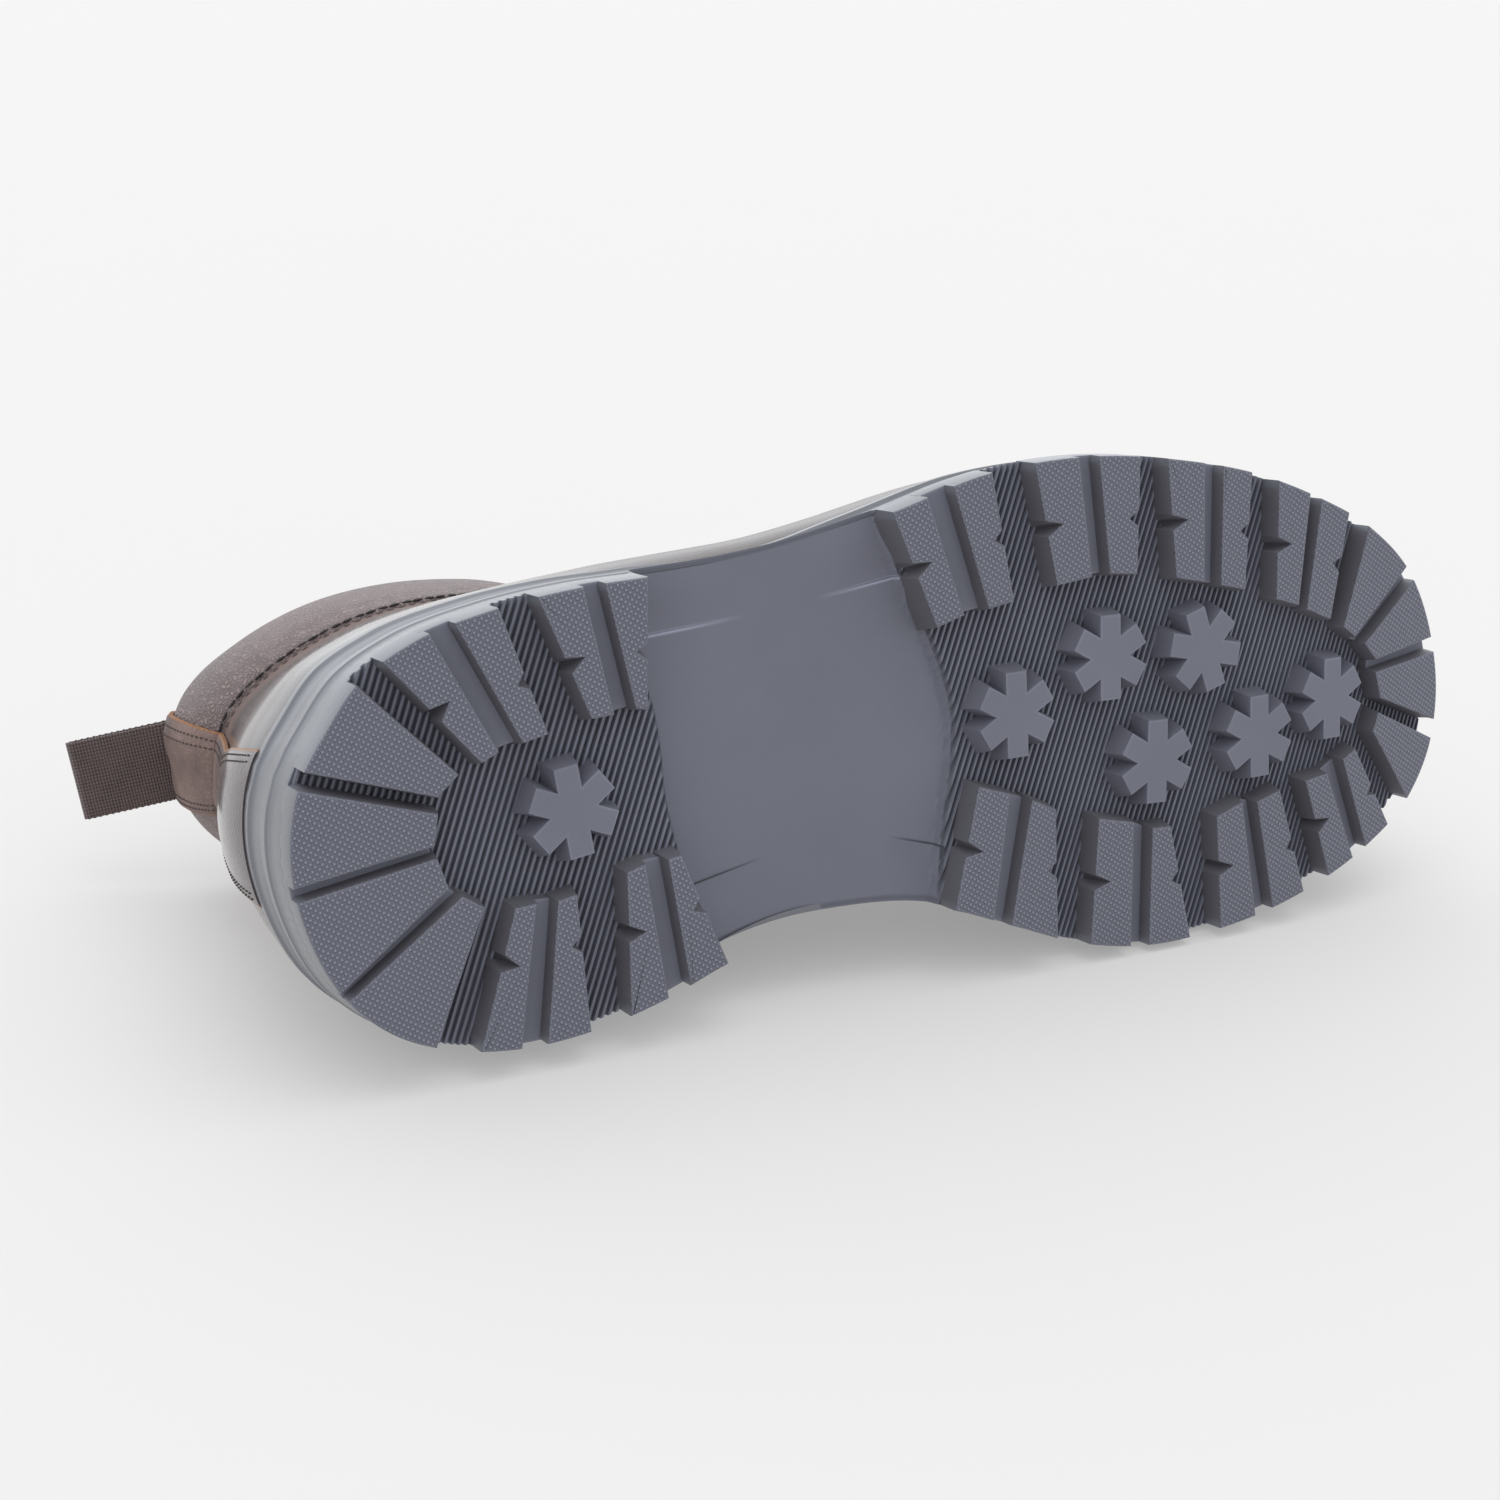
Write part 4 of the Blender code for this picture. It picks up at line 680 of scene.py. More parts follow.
class SolePlan:
    """Closed outline of the sole, walked along the outer edge to the toe and back along the inner edge."""

    def __init__(self):
        corners = np.array(OUTER_EDGE + INNER_EDGE[::-1])
        knots, length = ring_knots(corners)
        self.points = ring_curve(corners, knots, length, np.arange(EDGE_SAMPLES) * length / EDGE_SAMPLES)
        along = unit(np.roll(self.points, -1, axis=0) - np.roll(self.points, 1, axis=0))
        self.outward = np.stack([along[:, 1], -along[:, 0]], axis=1)
        if np.sum(self.outward * (self.points - self.points.mean(axis=0))) < 0:
            self.outward = -self.outward
        self.heel = int(np.argmin(self.points[:, 0]))
        self.toe = int(np.argmax(self.points[:, 0]))

    def run(self, first, last, outer):
        """Sample numbers from first to last, forwards along the outer side or backwards along the inner."""
        if outer:
            return (first + np.arange((last - first) % EDGE_SAMPLES + 1)) % EDGE_SAMPLES
        return (first - np.arange((first - last) % EDGE_SAMPLES + 1)) % EDGE_SAMPLES

    def index(self, x, outer):
        """Sample numbers at the given x on one side."""
        return reached(self.run(self.heel, self.toe, outer), self.points[:, 0], x)

    def nearest(self, x, y):
        """Sample number nearest to a point."""
        return int(np.argmin(np.hypot(self.points[:, 0] - x, self.points[:, 1] - y)))

    def girth(self):
        """Way all round the edge."""
        return path_length(np.concatenate([self.points, self.points[:1]]))

    def rim(self, start, end, count):
        """Points of the lugs' rim between the samples nearest to two places, by the shorter way round."""
        first, last = self.nearest(*start), self.nearest(*end)
        step = (last - first + EDGE_SAMPLES // 2) % EDGE_SAMPLES - EDGE_SAMPLES // 2
        index = (first + np.rint(np.linspace(0, step, count)).astype(int)) % EDGE_SAMPLES
        return self.points[index] - self.outward[index] * LUG_INSET

    def shelf(self, index, distance):
        """Points inside the edge of the sole's top."""
        beyond = self.beyond(index, *SIDE_PROFILE[-1])[..., None]
        return self.points[index] + self.outward[index] * (beyond - distance)

    def beyond(self, index, share, heel, fore):
        """Distance of the sole's side beyond the tread's edge at a share of the sole's height: the heel and
        forefoot values blended along the boot, less the lean of the outer heel."""
        x = self.points[index][..., 0]
        plain = heel + (fore - heel) * ramp(x, *SIDE_BLEND)
        facing_out = np.maximum(-self.outward[index][..., 1], 0.0) ** 2
        return plain - OUTER_LEAN * share * facing_out * (1 - ramp(x, *LEAN_FADE))


def sole_top(x):
    knots, tops, _ = zip(*SOLE_HEIGHTS)
    return smooth(x, knots, tops)


def on_sole(xy):
    """Points a gap over the sole's top."""
    return np.concatenate([xy, (sole_top(xy[..., 0]) + GAP)[..., None]], axis=-1)


def tread_rise(x):
    knots, _, rises = zip(*SOLE_HEIGHTS)
    return smooth(x, knots, rises)


def waist_lines(y):
    """X of the steps at the heel's end and at the forefoot's end of the waist."""
    across, heel, fore = zip(*WAIST_LINES)
    return smooth(y, across, heel), smooth(y, across, fore)


def underside(x, y):
    """Height of the underside over the tread between the lugs, and the share of the floor's ribs there. The
    waist lies between two lines across the sole, and short soft steps lead from its heights to the floor."""
    heel, fore = waist_lines(y)
    waist = np.interp((x - heel) / (fore - heel), *zip(*WAIST_HEIGHTS))
    inside = ease((x - heel) / WAIST_STEP_RUNS[0] + 1) * ease((fore - x) / WAIST_STEP_RUNS[1] + 1)
    ribs = (np.clip((heel - WAIST_STEP_RUNS[0] - x) / RIB_RUN, 0.0, 1.0)
            + np.clip((x - fore - WAIST_STEP_RUNS[1]) / RIB_RUN, 0.0, 1.0))
    return LUG_DEPTH + (waist - LUG_DEPTH) * inside, ribs


def ribbed_floor(x, y, ridge, depth):
    """Height of the ribbed floor, and the share of its ribs: the rise of the tread and the underside, deeper
    in the grooves and raised on the ridges."""
    height, share = underside(x, y)
    return tread_rise(x) + height + depth * RIB_SEAT - depth * share * ridge, share


def floor_shares(left, right, columns):
    """Shares of the way from the left to the right end of each row of the floor: even steps, but where a row
    crosses the brink, the foot and the ribs' start of a step of the waist, the nearest columns lie there."""
    shares = np.tile(np.linspace(0, 1, columns + 2)[1:-1], (len(left), 1))
    fine = np.linspace(0, 1, FLOOR_SEARCH)
    xy = left[:, None] + (right - left)[:, None] * fine[None, :, None]
    rows = np.arange(len(left))[:, None]
    margin = FLOOR_MARGIN * shares[0, 0]
    for line, run, side in zip(waist_lines(xy[..., 1]), WAIST_STEP_RUNS, (1, -1)):
        behind = line - xy[..., 0]
        levels = np.sort([0.0, side * run, side * (run + RIB_RUN)])
        after = np.clip(np.sum(behind[:, None] < levels[:, None], axis=-1), 1, FLOOR_SEARCH - 1)
        low, high = behind[rows, after - 1], behind[rows, after]
        places = fine[after - 1] + (levels - low) / (high - low) * fine[1]
        crossed = (places[:, 0] > margin) & (places[:, 2] < 1 - margin)
        numbers = np.rint(places[crossed] * (columns + 1)).astype(int) - 1
        numbers[:, 0] = np.minimum(numbers[:, 0], numbers[:, 1] - 1)
        numbers[:, 2] = np.maximum(numbers[:, 2], numbers[:, 1] + 1)
        shares[rows[crossed], numbers] = places[crossed]
    return shares


def side_rings(plan, ring, base):
    """Rings of points up the side of the sole, out from the tread's edge: from the rows' ends at the height
    base towards the first line of the side profile, then at each share of the sole's height."""
    edge, out = plan.points[ring], plan.outward[ring]
    rise, top = tread_rise(edge[:, 0]), sole_top(edge[:, 0])
    first = SIDE_PROFILE[0]
    shares, heel, fore = zip(*SIDE_PROFILE)
    rings = [np.column_stack([edge, base])]
    for part in SIDE_FOOT_PARTS:
        beyond = plan.beyond(ring, first[0] * part, first[1] * part, first[2] * part)[:, None]
        height = base + (rise + (top - rise) * first[0] - base) * part
        rings.append(np.column_stack([edge + out * beyond, height]))
    for level in SIDE_SHARES:
        at_heel, at_fore = float(smooth(level, shares, heel)), float(smooth(level, shares, fore))
        beyond = plan.beyond(ring, level, at_heel, at_fore)[:, None]
        rings.append(np.column_stack([edge + out * beyond, rise + (top - rise) * level]))
    return np.array(rings)


def sole_body(shell, plan, pitch, depth):
    """Sole without lugs. Cross rows follow the ribs, lines of constant x + lean times y, four to a rib at the
    corners of its ridge and groove. The side is a ring of the rows' ends carried up the side profile."""
    lean = plan.points[:, 0] + RIB_LEAN * plan.points[:, 1]
    back, front = int(np.argmin(lean)), int(np.argmax(lean))
    ribs = np.arange(math.floor(lean.min() / pitch), math.ceil(lean.max() / pitch) + 1)
    offsets, ridges = (np.array(values) for values in zip(*RIB_CORNERS))
    rows = (ribs[:, None] + offsets).ravel() * pitch
    ridge = np.tile(ridges, len(ribs))
    kept = (rows > lean.min() + ROW_MARGIN) & (rows < lean.max() - ROW_MARGIN)
    rows, ridge = rows[kept], ridge[kept]
    count = len(rows)
    outer, inner = (reached(plan.run(back, front, side), lean, rows) for side in (True, False))
    ring = np.concatenate([[back], outer, [front], inner[::-1]])
    around = len(ring)
    edge_ridge = np.concatenate([[0.0], ridge, [0.0], ridge[::-1]])
    base, _ = ribbed_floor(*plan.points[ring].T, edge_ridge, depth)
    rings = side_rings(plan, ring, base)
    total = len(rings) * around
    walk = np.linspace(0, plan.girth(), around)
    sheet = np.stack([np.broadcast_to(walk, rings.shape[:2]), rings[..., 2]], axis=-1) / SHEET_MM
    points, sheets = [rings.reshape(-1, 3)], [sheet.reshape(-1, 2)]
    grooves, waists = [np.zeros(total)], [np.zeros(total)]
    walls = [np.repeat([0.0, 1.0], [around, total - around])]
    faces = [grid_quads(len(rings), around, closed=True)]
    for columns, start, under in ((FLOOR_COLUMNS, 0, True), (TOP_COLUMNS, total - around, False)):
        ring_xy = points[0][start:start + around, :2]
        left, right = ring_xy[1:count + 1], ring_xy[around - 1:count + 1:-1]
        part = floor_shares(left, right, columns) if under else np.linspace(0, 1, columns + 2)[None, 1:-1]
        xy = left[:, None] + (right - left)[:, None] * part[..., None]
        x, y = xy[..., 0], xy[..., 1]
        if under:
            z, share = ribbed_floor(x, y, ridge[:, None], depth)
        else:
            z, share = sole_top(x), np.zeros_like(x)
        number = np.concatenate([start + 1 + np.arange(count)[:, None],
                                 total + np.arange(count * columns).reshape(count, columns),
                                 start + around - 1 - np.arange(count)[:, None]], axis=1)
        quads = np.stack([number[:-1, :-1], number[:-1, 1:], number[1:, 1:], number[1:, :-1]], axis=-1)
        faces.append(quads.reshape(-1, 4))
        for line, tip in ((number[0], start), (number[-1], start + count + 1)):
            faces.append(np.stack([np.full(len(line) - 1, tip), line[:-1], line[1:]], axis=1))
        points.append(np.dstack([x, y, z]).reshape(-1, 3))
        sheets.append(xy.reshape(-1, 2) / SHEET_MM)
        grooves.append((share * (1 - ridge[:, None])).ravel())
        waists.append((1 - share).ravel())
        walls.append(np.zeros(x.size))
        total += x.size
    shell.add(np.concatenate(points), faces, np.concatenate(sheets), groove=np.concatenate(grooves),
              wall=np.concatenate(walls), waist=np.concatenate(waists))


def grown(ring, distance):
    """Closed outline moved outwards: each point goes along the sum of its two edges' normals, divided by one
    plus their dot product, times its distance."""
    ahead = unit(np.roll(ring, -1, axis=0) - ring)
    area = np.sum(ring[:, 0] * np.roll(ring[:, 1], -1) - np.roll(ring[:, 0], -1) * ring[:, 1])
    out = np.stack([ahead[:, 1], -ahead[:, 0]], axis=1) * np.sign(area)
    before = np.roll(out, 1, axis=0)
    mitre = np.maximum(1 + np.sum(out * before, axis=1), LEAST_MITRE)
    return ring + (out + before) / mitre[:, None] * np.asarray(distance)[..., None]


def block(shell, crown, foot, draft, knurl=0.0, sunk=0.0, rim=0, flank_shade=1.0):
    """Drafted block with rounded top edges: the foot's outline at the root, then the crown's in rings up to
    the tread or a sunk level below it, closed by one flat face on the top. The first points lie on the sole's
    rim."""
    rings = []
    for height, growth, drafted, _, _ in BLOCK_RINGS:
        ring = grown(foot, draft) if drafted else grown(crown, growth)
        level = height if drafted else height + sunk
        rings.append(np.column_stack([ring, tread_rise(ring[:, 0]) + level]))
    count = len(crown)
    points = np.concatenate(rings)
    number = np.arange(count)
    last = (len(rings) - 1) * count
    faces = [grid_quads(len(rings), count, closed=True), last + number[None], number[None, ::-1]]
    *_, tops, edges = zip(*BLOCK_RINGS)
    tops, edges = np.repeat(tops, count), np.repeat(edges, count)
    side = np.tile(number < rim, len(rings)).astype(float)
    # The flank mask sets where the block's sides take the painted shade, less of it on studs.
    shell.add(points, faces, points[:, :2] / SHEET_MM, knurl=tops * knurl, edge=edges,
              flank=(1 - tops) * (1 - side) * flank_shade, wall=(1 - tops) * side)


def lug_side(start, end, inside, notch_y, depth):
    """Points between two corners of a lug. A notch pulls one point inwards, between two close to it."""
    run = end - start
    if not notch_y:
        share = np.linspace(0, 1, LUG_SIDE_POINTS + 2)[1:-1]
        return start + run * share[:, None]
    at = (notch_y - start[1]) / run[1]
    half = NOTCH_HALF / np.linalg.norm(run)
    part = LUG_SIDE_POINTS // 2 + 1
    before, after = np.linspace(0, at - half, part)[1:], np.linspace(at + half, 1, part)[:-1]
    share = np.concatenate([before, [at], after])
    points = start + run * share[:, None]
    aside = unit(np.array([-run[1], run[0]]))
    aside *= np.sign(aside @ (inside - start))
    points[part - 1] += aside * depth
    return points


def lugs(shell, plan):
    """Lugs: the sole's edge between two corners, a side, an inner end and the other side, closed into a
    block."""
    notches = {row[0]: row[1:] for row in NOTCHES}
    for number, row in enumerate(LUGS):
        heel_y, toe_y, depth = notches.get(number, (0, 0, 0))
        rim = plan.rim(row[0:2], row[2:4], LUG_RIM_POINTS)
        toe_corner, heel_corner = np.array(row[4:6]), np.array(row[6:8])
        inside = (rim.mean(axis=0) + toe_corner + heel_corner) / 3
        end = toe_corner + (heel_corner - toe_corner) * np.linspace(0, 1, LUG_END_POINTS)[:, None]
        crown, foot = (np.concatenate([
            rim, lug_side(rim[-1], toe_corner, inside, toe_y, cut), end,
            lug_side(heel_corner, rim[0], inside, heel_y, cut)]) for cut in (depth, 0.0))
        draft = np.full(len(crown), LUG_DRAFT)
        draft[:LUG_RIM_POINTS] = 0.0
        block(shell, crown, foot, draft, knurl=1.0, rim=LUG_RIM_POINTS)


def channels(shell, plan):
    """Smooth floors between paired lugs: low blocks from the sole's edge to the line between the lugs' inner
    ends, lapped into both lugs."""
    for before, after in CHANNELS:
        rim = plan.rim(LUGS[before][2:4], LUGS[after][0:2], CHANNEL_RIM_POINTS)
        rim[0] -= unit(rim[1] - rim[0]) * CHANNEL_LAP
        rim[-1] += unit(rim[-1] - rim[-2]) * CHANNEL_LAP
        ends = np.array([LUGS[after][6:8], LUGS[before][4:6]], float)
        ends += np.array([[1.0], [-1.0]]) * unit(ends[0] - ends[1]) * CHANNEL_LAP
        crown = np.concatenate([rim, ends])
        draft = np.concatenate([np.zeros(CHANNEL_RIM_POINTS), np.full(2, LUG_DRAFT)])
        block(shell, crown, crown, draft, sunk=CHANNEL_DEPTH, rim=CHANNEL_RIM_POINTS)


def studs(shell):
    """Star studs: six arms of even width, two corners at each tip and one in each hollow."""
    tip = math.sqrt(STUD_RADIUS ** 2 - (STUD_ARM_WIDTH / 2) ** 2)
    hollow = STUD_ARM_WIDTH / 2 / math.sin(math.pi / STUD_ARMS)
    spread = math.atan2(STUD_ARM_WIDTH / 2, tip)
    corners = np.array([-spread, spread, math.pi / STUD_ARMS])
    for x, y, turn in STUDS:
        angle = (math.radians(turn) + turns(STUD_ARMS)[:, None] + corners).ravel()
        reach = np.tile([STUD_RADIUS, STUD_RADIUS, hollow], STUD_ARMS)
        crown = np.stack([x + reach * np.cos(angle), y + reach * np.sin(angle)], axis=1)
        block(shell, crown, crown, np.full(len(crown), STUD_DRAFT), flank_shade=STUD_FLANK_SHADE)


class UpperShape:
    """Outer face of the upper: curved ribs from the sole's edge to the top line, walked round the boot."""

    def __init__(self, plan):
        self.plan = plan
        last = len(UPPER_SECTIONS) - 1
        self.sections = ([(row, True) for row in range(last + 1)]
                         + [(row, False) for row in range(last - 1, 0, -1)])
        feet, tops, shape = [], [], []
        for number, outer in self.sections:
            outer_x, inner_x, top_x, outer_y, inner_y, top_z, *swells = UPPER_SECTIONS[number][:8]
            feet.append(int(plan.index(outer_x if outer else inner_x, outer)))
            tops.append((top_x, outer_y if outer else inner_y, top_z))
            shape.append((swells[0 if outer else 1],) + UPPER_SECTIONS[number][8:])
        self.toe = feet[0]
        self.foot_walk = np.mod(self.toe - np.array(feet), EDGE_SAMPLES).astype(float)
        self.period = float(EDGE_SAMPLES)
        self.tops = np.array(tops)
        self.shape = np.array(shape)

    def at_section(self, number, outer=True):
        return self.foot_walk[self.sections.index((number, outer))]

    def top(self, walk):
        return ring_curve(self.tops, self.foot_walk, self.period, walk)

    def handles(self, walk):
        """Swell, rise, reach and drop of the rib at each walk value."""
        return np.moveaxis(ring_curve(self.shape, self.foot_walk, self.period, walk), -1, 0)

    def point(self, walk, up):
        """Point of the outer face: a cubic rib with four control points, the foot on the sole, one swelling
        out above it, one reaching out below the top line, and the top line."""
        walk, up = np.broadcast_arrays(np.asarray(walk, float), np.asarray(up, float))
        index = np.rint(self.toe - walk).astype(int) % EDGE_SAMPLES
        foot = on_sole(self.plan.shelf(index, FEATHER_INSET))
        top = self.top(walk)
        swell, rise, reach, drop = self.handles(walk)
        out = self.plan.outward[index]
        low = foot + np.stack([out[..., 0] * swell, out[..., 1] * swell, rise], axis=-1)
        away = unit(foot[..., :2] - top[..., :2] + out * TOP_TURN)
        high = top + np.stack([away[..., 0] * reach, away[..., 1] * reach, -drop], axis=-1)
        t = up[..., None]
        s = 1 - t
        return s ** 3 * foot + 3 * s * s * t * low + 3 * s * t * t * high + t ** 3 * top

    def frame(self, walk, up):
        """Point and outward normal of the outer face, the cross product of steps round and up."""
        walk, up = np.broadcast_arrays(np.asarray(walk, float), np.asarray(up, float))
        point = self.point(walk, up)
        side = self.point(walk + WALK_STEP, up) - self.point(walk - WALK_STEP, up)
        higher, lower = np.minimum(up + UP_STEP, 1), np.maximum(up - UP_STEP, 0)
        normal = unit(np.cross(side, self.point(walk, higher) - self.point(walk, lower)))
        least, greatest, middle_y, middle_z = FOOT_LINE
        inside = np.stack([np.clip(point[..., 0], least, greatest), np.full_like(up, middle_y),
                           np.full_like(up, middle_z)], axis=-1)
        flip = np.sign(np.sum(normal * (point - inside), axis=-1, keepdims=True))
        return point, normal * flip

    def shifted(self, walk, distance, up):
        """Walk value a given distance along the face, measured at the height up."""
        step = self.point(walk + WALK_STEP, up) - self.point(walk - WALK_STEP, up)
        return walk + distance * 2 * WALK_STEP / np.linalg.norm(step, axis=-1)

    def edge_rate(self, walk):
        """Distance down from the top line for a unit of up, three times the rib's last handle."""
        _, _, reach, drop = self.handles(walk)
        return 3 * np.hypot(reach, drop)

    def below_edge(self, walk, distance):
        """Up values a given distance down from the top line."""
        return 1 - distance / self.edge_rate(walk)

    def above(self, walk, distance, height):
        """Point a given height over the face and distance down from the top line, with the normal there."""
        point, normal = self.frame(walk, self.below_edge(walk, distance))
        return point + normal * np.asarray(height)[..., None], normal


class CollarShape:
    """Padded band standing on the upper's top line from one throat edge round the back to the other."""

    def __init__(self, shape):
        self.shape = shape
        self.first = shape.at_section(THROAT_SECTION, True)
        self.last = shape.at_section(THROAT_SECTION, False)
        self.heel = shape.at_section(HEEL_SECTION)
        self.knots, self.girth = ring_knots(np.array(COLLAR_SECTION) * (1.0, COLLAR_HEIGHT))

    def surface(self, walk, turn):
        """Points of the padding for walk values and turns round the section: at each walk value the section's
        corners stand out from the top line by the padding's swell and up by the collar's height, and a closed
        cubic curve joins them."""
        base = self.shape.top(walk)
        along = unit(self.shape.top(walk + WALK_STEP) - self.shape.top(walk - WALK_STEP))
        out = unit(np.stack([-along[:, 1], along[:, 0], np.zeros_like(walk)], axis=-1))
        least, greatest, middle_y = ANKLE_LINE
        centre_x, centre_y = np.clip(base[:, 0], least, greatest), np.full_like(walk, middle_y)
        centre = np.stack([centre_x, centre_y, base[:, 2]], axis=-1)
        out *= np.sign(np.sum(out * (base - centre), axis=-1, keepdims=True))
        share = (walk - self.heel) / np.where(walk < self.heel, self.heel - self.first, self.last - self.heel)
        heights = (COLLAR_HEIGHT, COLLAR_HEIGHT, COLLAR_FRONT_HEIGHT)
        height = smooth(np.abs(share), (0.0, COLLAR_LEVEL, 1.0), heights)
        shares, outer_swells, inner_swells = zip(*COLLAR_PADDING)
        swell = smooth(share, shares, outer_swells), smooth(share, shares, inner_swells)
        corners = np.array(COLLAR_SECTION)
        beyond = corners[:, :1] * np.where(corners[:, :1] > 0, swell[0], swell[1])
        rise = GAP + height * corners[:, 1:]
        points = base + out * beyond[..., None] + np.array([0, 0, 1.0]) * rise[..., None]
        flat = ring_curve(points.reshape(len(corners), -1), self.knots, self.girth, turn)
        return flat.reshape(len(turn), len(walk), 3).swapaxes(0, 1)


# Materials.

def operation(kind):
    """A method that adds one Math node of a value and others, and its reflected form."""
    def plain(self, *others):
        return self.finish.add("Math", {"operation": kind}, dict(enumerate((self,) + others)))

    def reflected(self, other):
        return self.finish.add("Math", {"operation": kind}, {0: other, 1: self})

    return plain, reflected


class Value:
    """A socket of a material that takes part in Python arithmetic. Each operation adds one node."""
    __add__, __radd__ = operation("ADD")
    __sub__, __rsub__ = operation("SUBTRACT")
    __mul__, __rmul__ = operation("MULTIPLY")
    __truediv__, __rtruediv__ = operation("DIVIDE")
    sine, size, most = (operation(kind)[0] for kind in ("SINE", "ABSOLUTE", "MAXIMUM"))

    def __init__(self, finish, socket):
        self.finish, self.socket = finish, socket

    def step(self, low, high):
        """Soft step from 0 at low to 1 at high."""
        return self.finish.add("MapRange", {"interpolation_type": "SMOOTHSTEP"},
                               {"Value": self, "From Min": low, "From Max": high}, "Result")


class Finish:
    """The nodes of one material, or of the world."""

    def __init__(self, name, owners=None, shader="Principled BSDF"):
        self.material = (bpy.data.materials if owners is None else owners).new(name)
        self.material.use_nodes = True
        self.tree = self.material.node_tree
        self.shader = self.tree.nodes[shader]

    def add(self, kind, settings=None, sockets=None, give=0):
        """Adds a node: its settings first, then the values or links of its sockets. Returns one output."""
        node = self.tree.nodes.new("ShaderNode" + kind)
        for name, value in (settings or {}).items():
            setattr(node, name, value)
        for name, value in (sockets or {}).items():
            self.feed(node.inputs[name], value)
        return Value(self, node.outputs[give])

    def feed(self, socket, value):
        if isinstance(value, Value):
            self.tree.links.new(value.socket, socket)
        elif socket.type == "RGBA":
            socket.default_value = tuple(value) + (1.0,)
        else:
            socket.default_value = value

    def place(self):
        return self.add("TexCoord", give="Object")

    def along(self, direction):
        """Distance of the place along a direction."""
        return self.add("VectorMath", {"operation": "DOT_PRODUCT"},
                        {0: self.place(), 1: tuple(direction)}, "Value")

    def mask(self, name):
        return self.add("Attribute", {"attribute_name": name}, give="Fac")

    def split(self, vector):
        """The three numbers of a vector."""
        first = self.add("SeparateXYZ", None, {0: vector})
        return [Value(self, socket) for socket in first.socket.node.outputs]

    def sheet(self):
        """The two surface coordinates of the piece."""
        return self.split(self.add("UVMap", {"uv_map": "surface"}))[:2]

    def noise(self, scale, detail=3.0, rough=0.55, vector=None, give="Fac"):
        sockets = {"Vector": vector or self.place(), "Scale": scale, "Detail": detail, "Roughness": rough}
        return self.add("TexNoise", None, sockets, give)

    def cells(self, scale, vector=None):
        """Distance from the edges of rounded cells."""
        return self.add("TexVoronoi", {"feature": "DISTANCE_TO_EDGE"},
                        {"Vector": vector or self.place(), "Scale": scale}, "Distance")

    def mix(self, share, first, second, blend="MIX"):
        """Colour between two, or a vector moved by a colour where the blend says so."""
        return self.add("Mix", {"data_type": "RGBA", "blend_type": blend},
                        {0: share, 6: first, 7: second}, 2)

    def tones(self, share, colour, low, high):
        """Two tones of one colour, mixed by a share."""
        return self.mix(share, shade(colour, low), shade(colour, high))

    def bump(self, height, strength, distance, normal=None):
        sockets = {"Strength": strength, "Distance": distance, "Height": height}
        if normal is not None:
            sockets["Normal"] = normal
        return self.add("Bump", None, sockets, "Normal")

    def set(self, **sockets):
        """Feeds the shader's sockets. Underscores in the names stand for spaces."""
        for name, value in sockets.items():
            self.feed(self.shader.inputs[name.replace("_", " ")], value)
        return self.material


def shade(colour, factor):
    """A colour made lighter or darker."""
    return tuple(min(channel * factor, 1.0) for channel in colour)


def waist_steps(u, v):
    """Fine steps of the waist for surface coordinates in centimetres. Returns how deep the flank lies, and
    the line along the step, above nought on the outer side and below it on the inner: each fades along its
    step, and the flank rises again away from it."""
    deep, line = 0.0, 0.0
    for row in WAIST_STEPS:
        x, y, end_x, end_y = (value / SHEET_MM for value in row[:4])
        side = row[4]
        length = math.hypot(end_x - x, end_y - y)
        along_x, along_y = (end_x - x) / length, (end_y - y) / length
        turn = side * math.copysign(1.0, along_x)
        along = (u - x) * along_x + (v - y) * along_y
        aside = ((v - y) * along_x - (u - x) * along_y) * turn
        fade = along.step(length, length * STEP_FADE_FROM) * along.step(*STEP_START)
        deep = deep + fade * aside.step(*STEP_FACE) * aside.step(*STEP_FLANK)
        line = line + fade * (aside + STEP_LINE_ASIDE).size().step(*STEP_LINE) * -side
    return deep, line


def knurl_dots(u, v, pitch):
    """Raised dots where two crossed sine waves are high, for surface coordinates in centimetres."""
    turn, rate = math.radians(KNURL_TURN), 2 * math.pi / pitch
    rows = (u * math.cos(turn) + v * math.sin(turn)) * rate
    columns = (v * math.cos(turn) - u * math.sin(turn)) * rate
    return (rows.sine() + columns.sine()).step(*KNURL_DOTS)


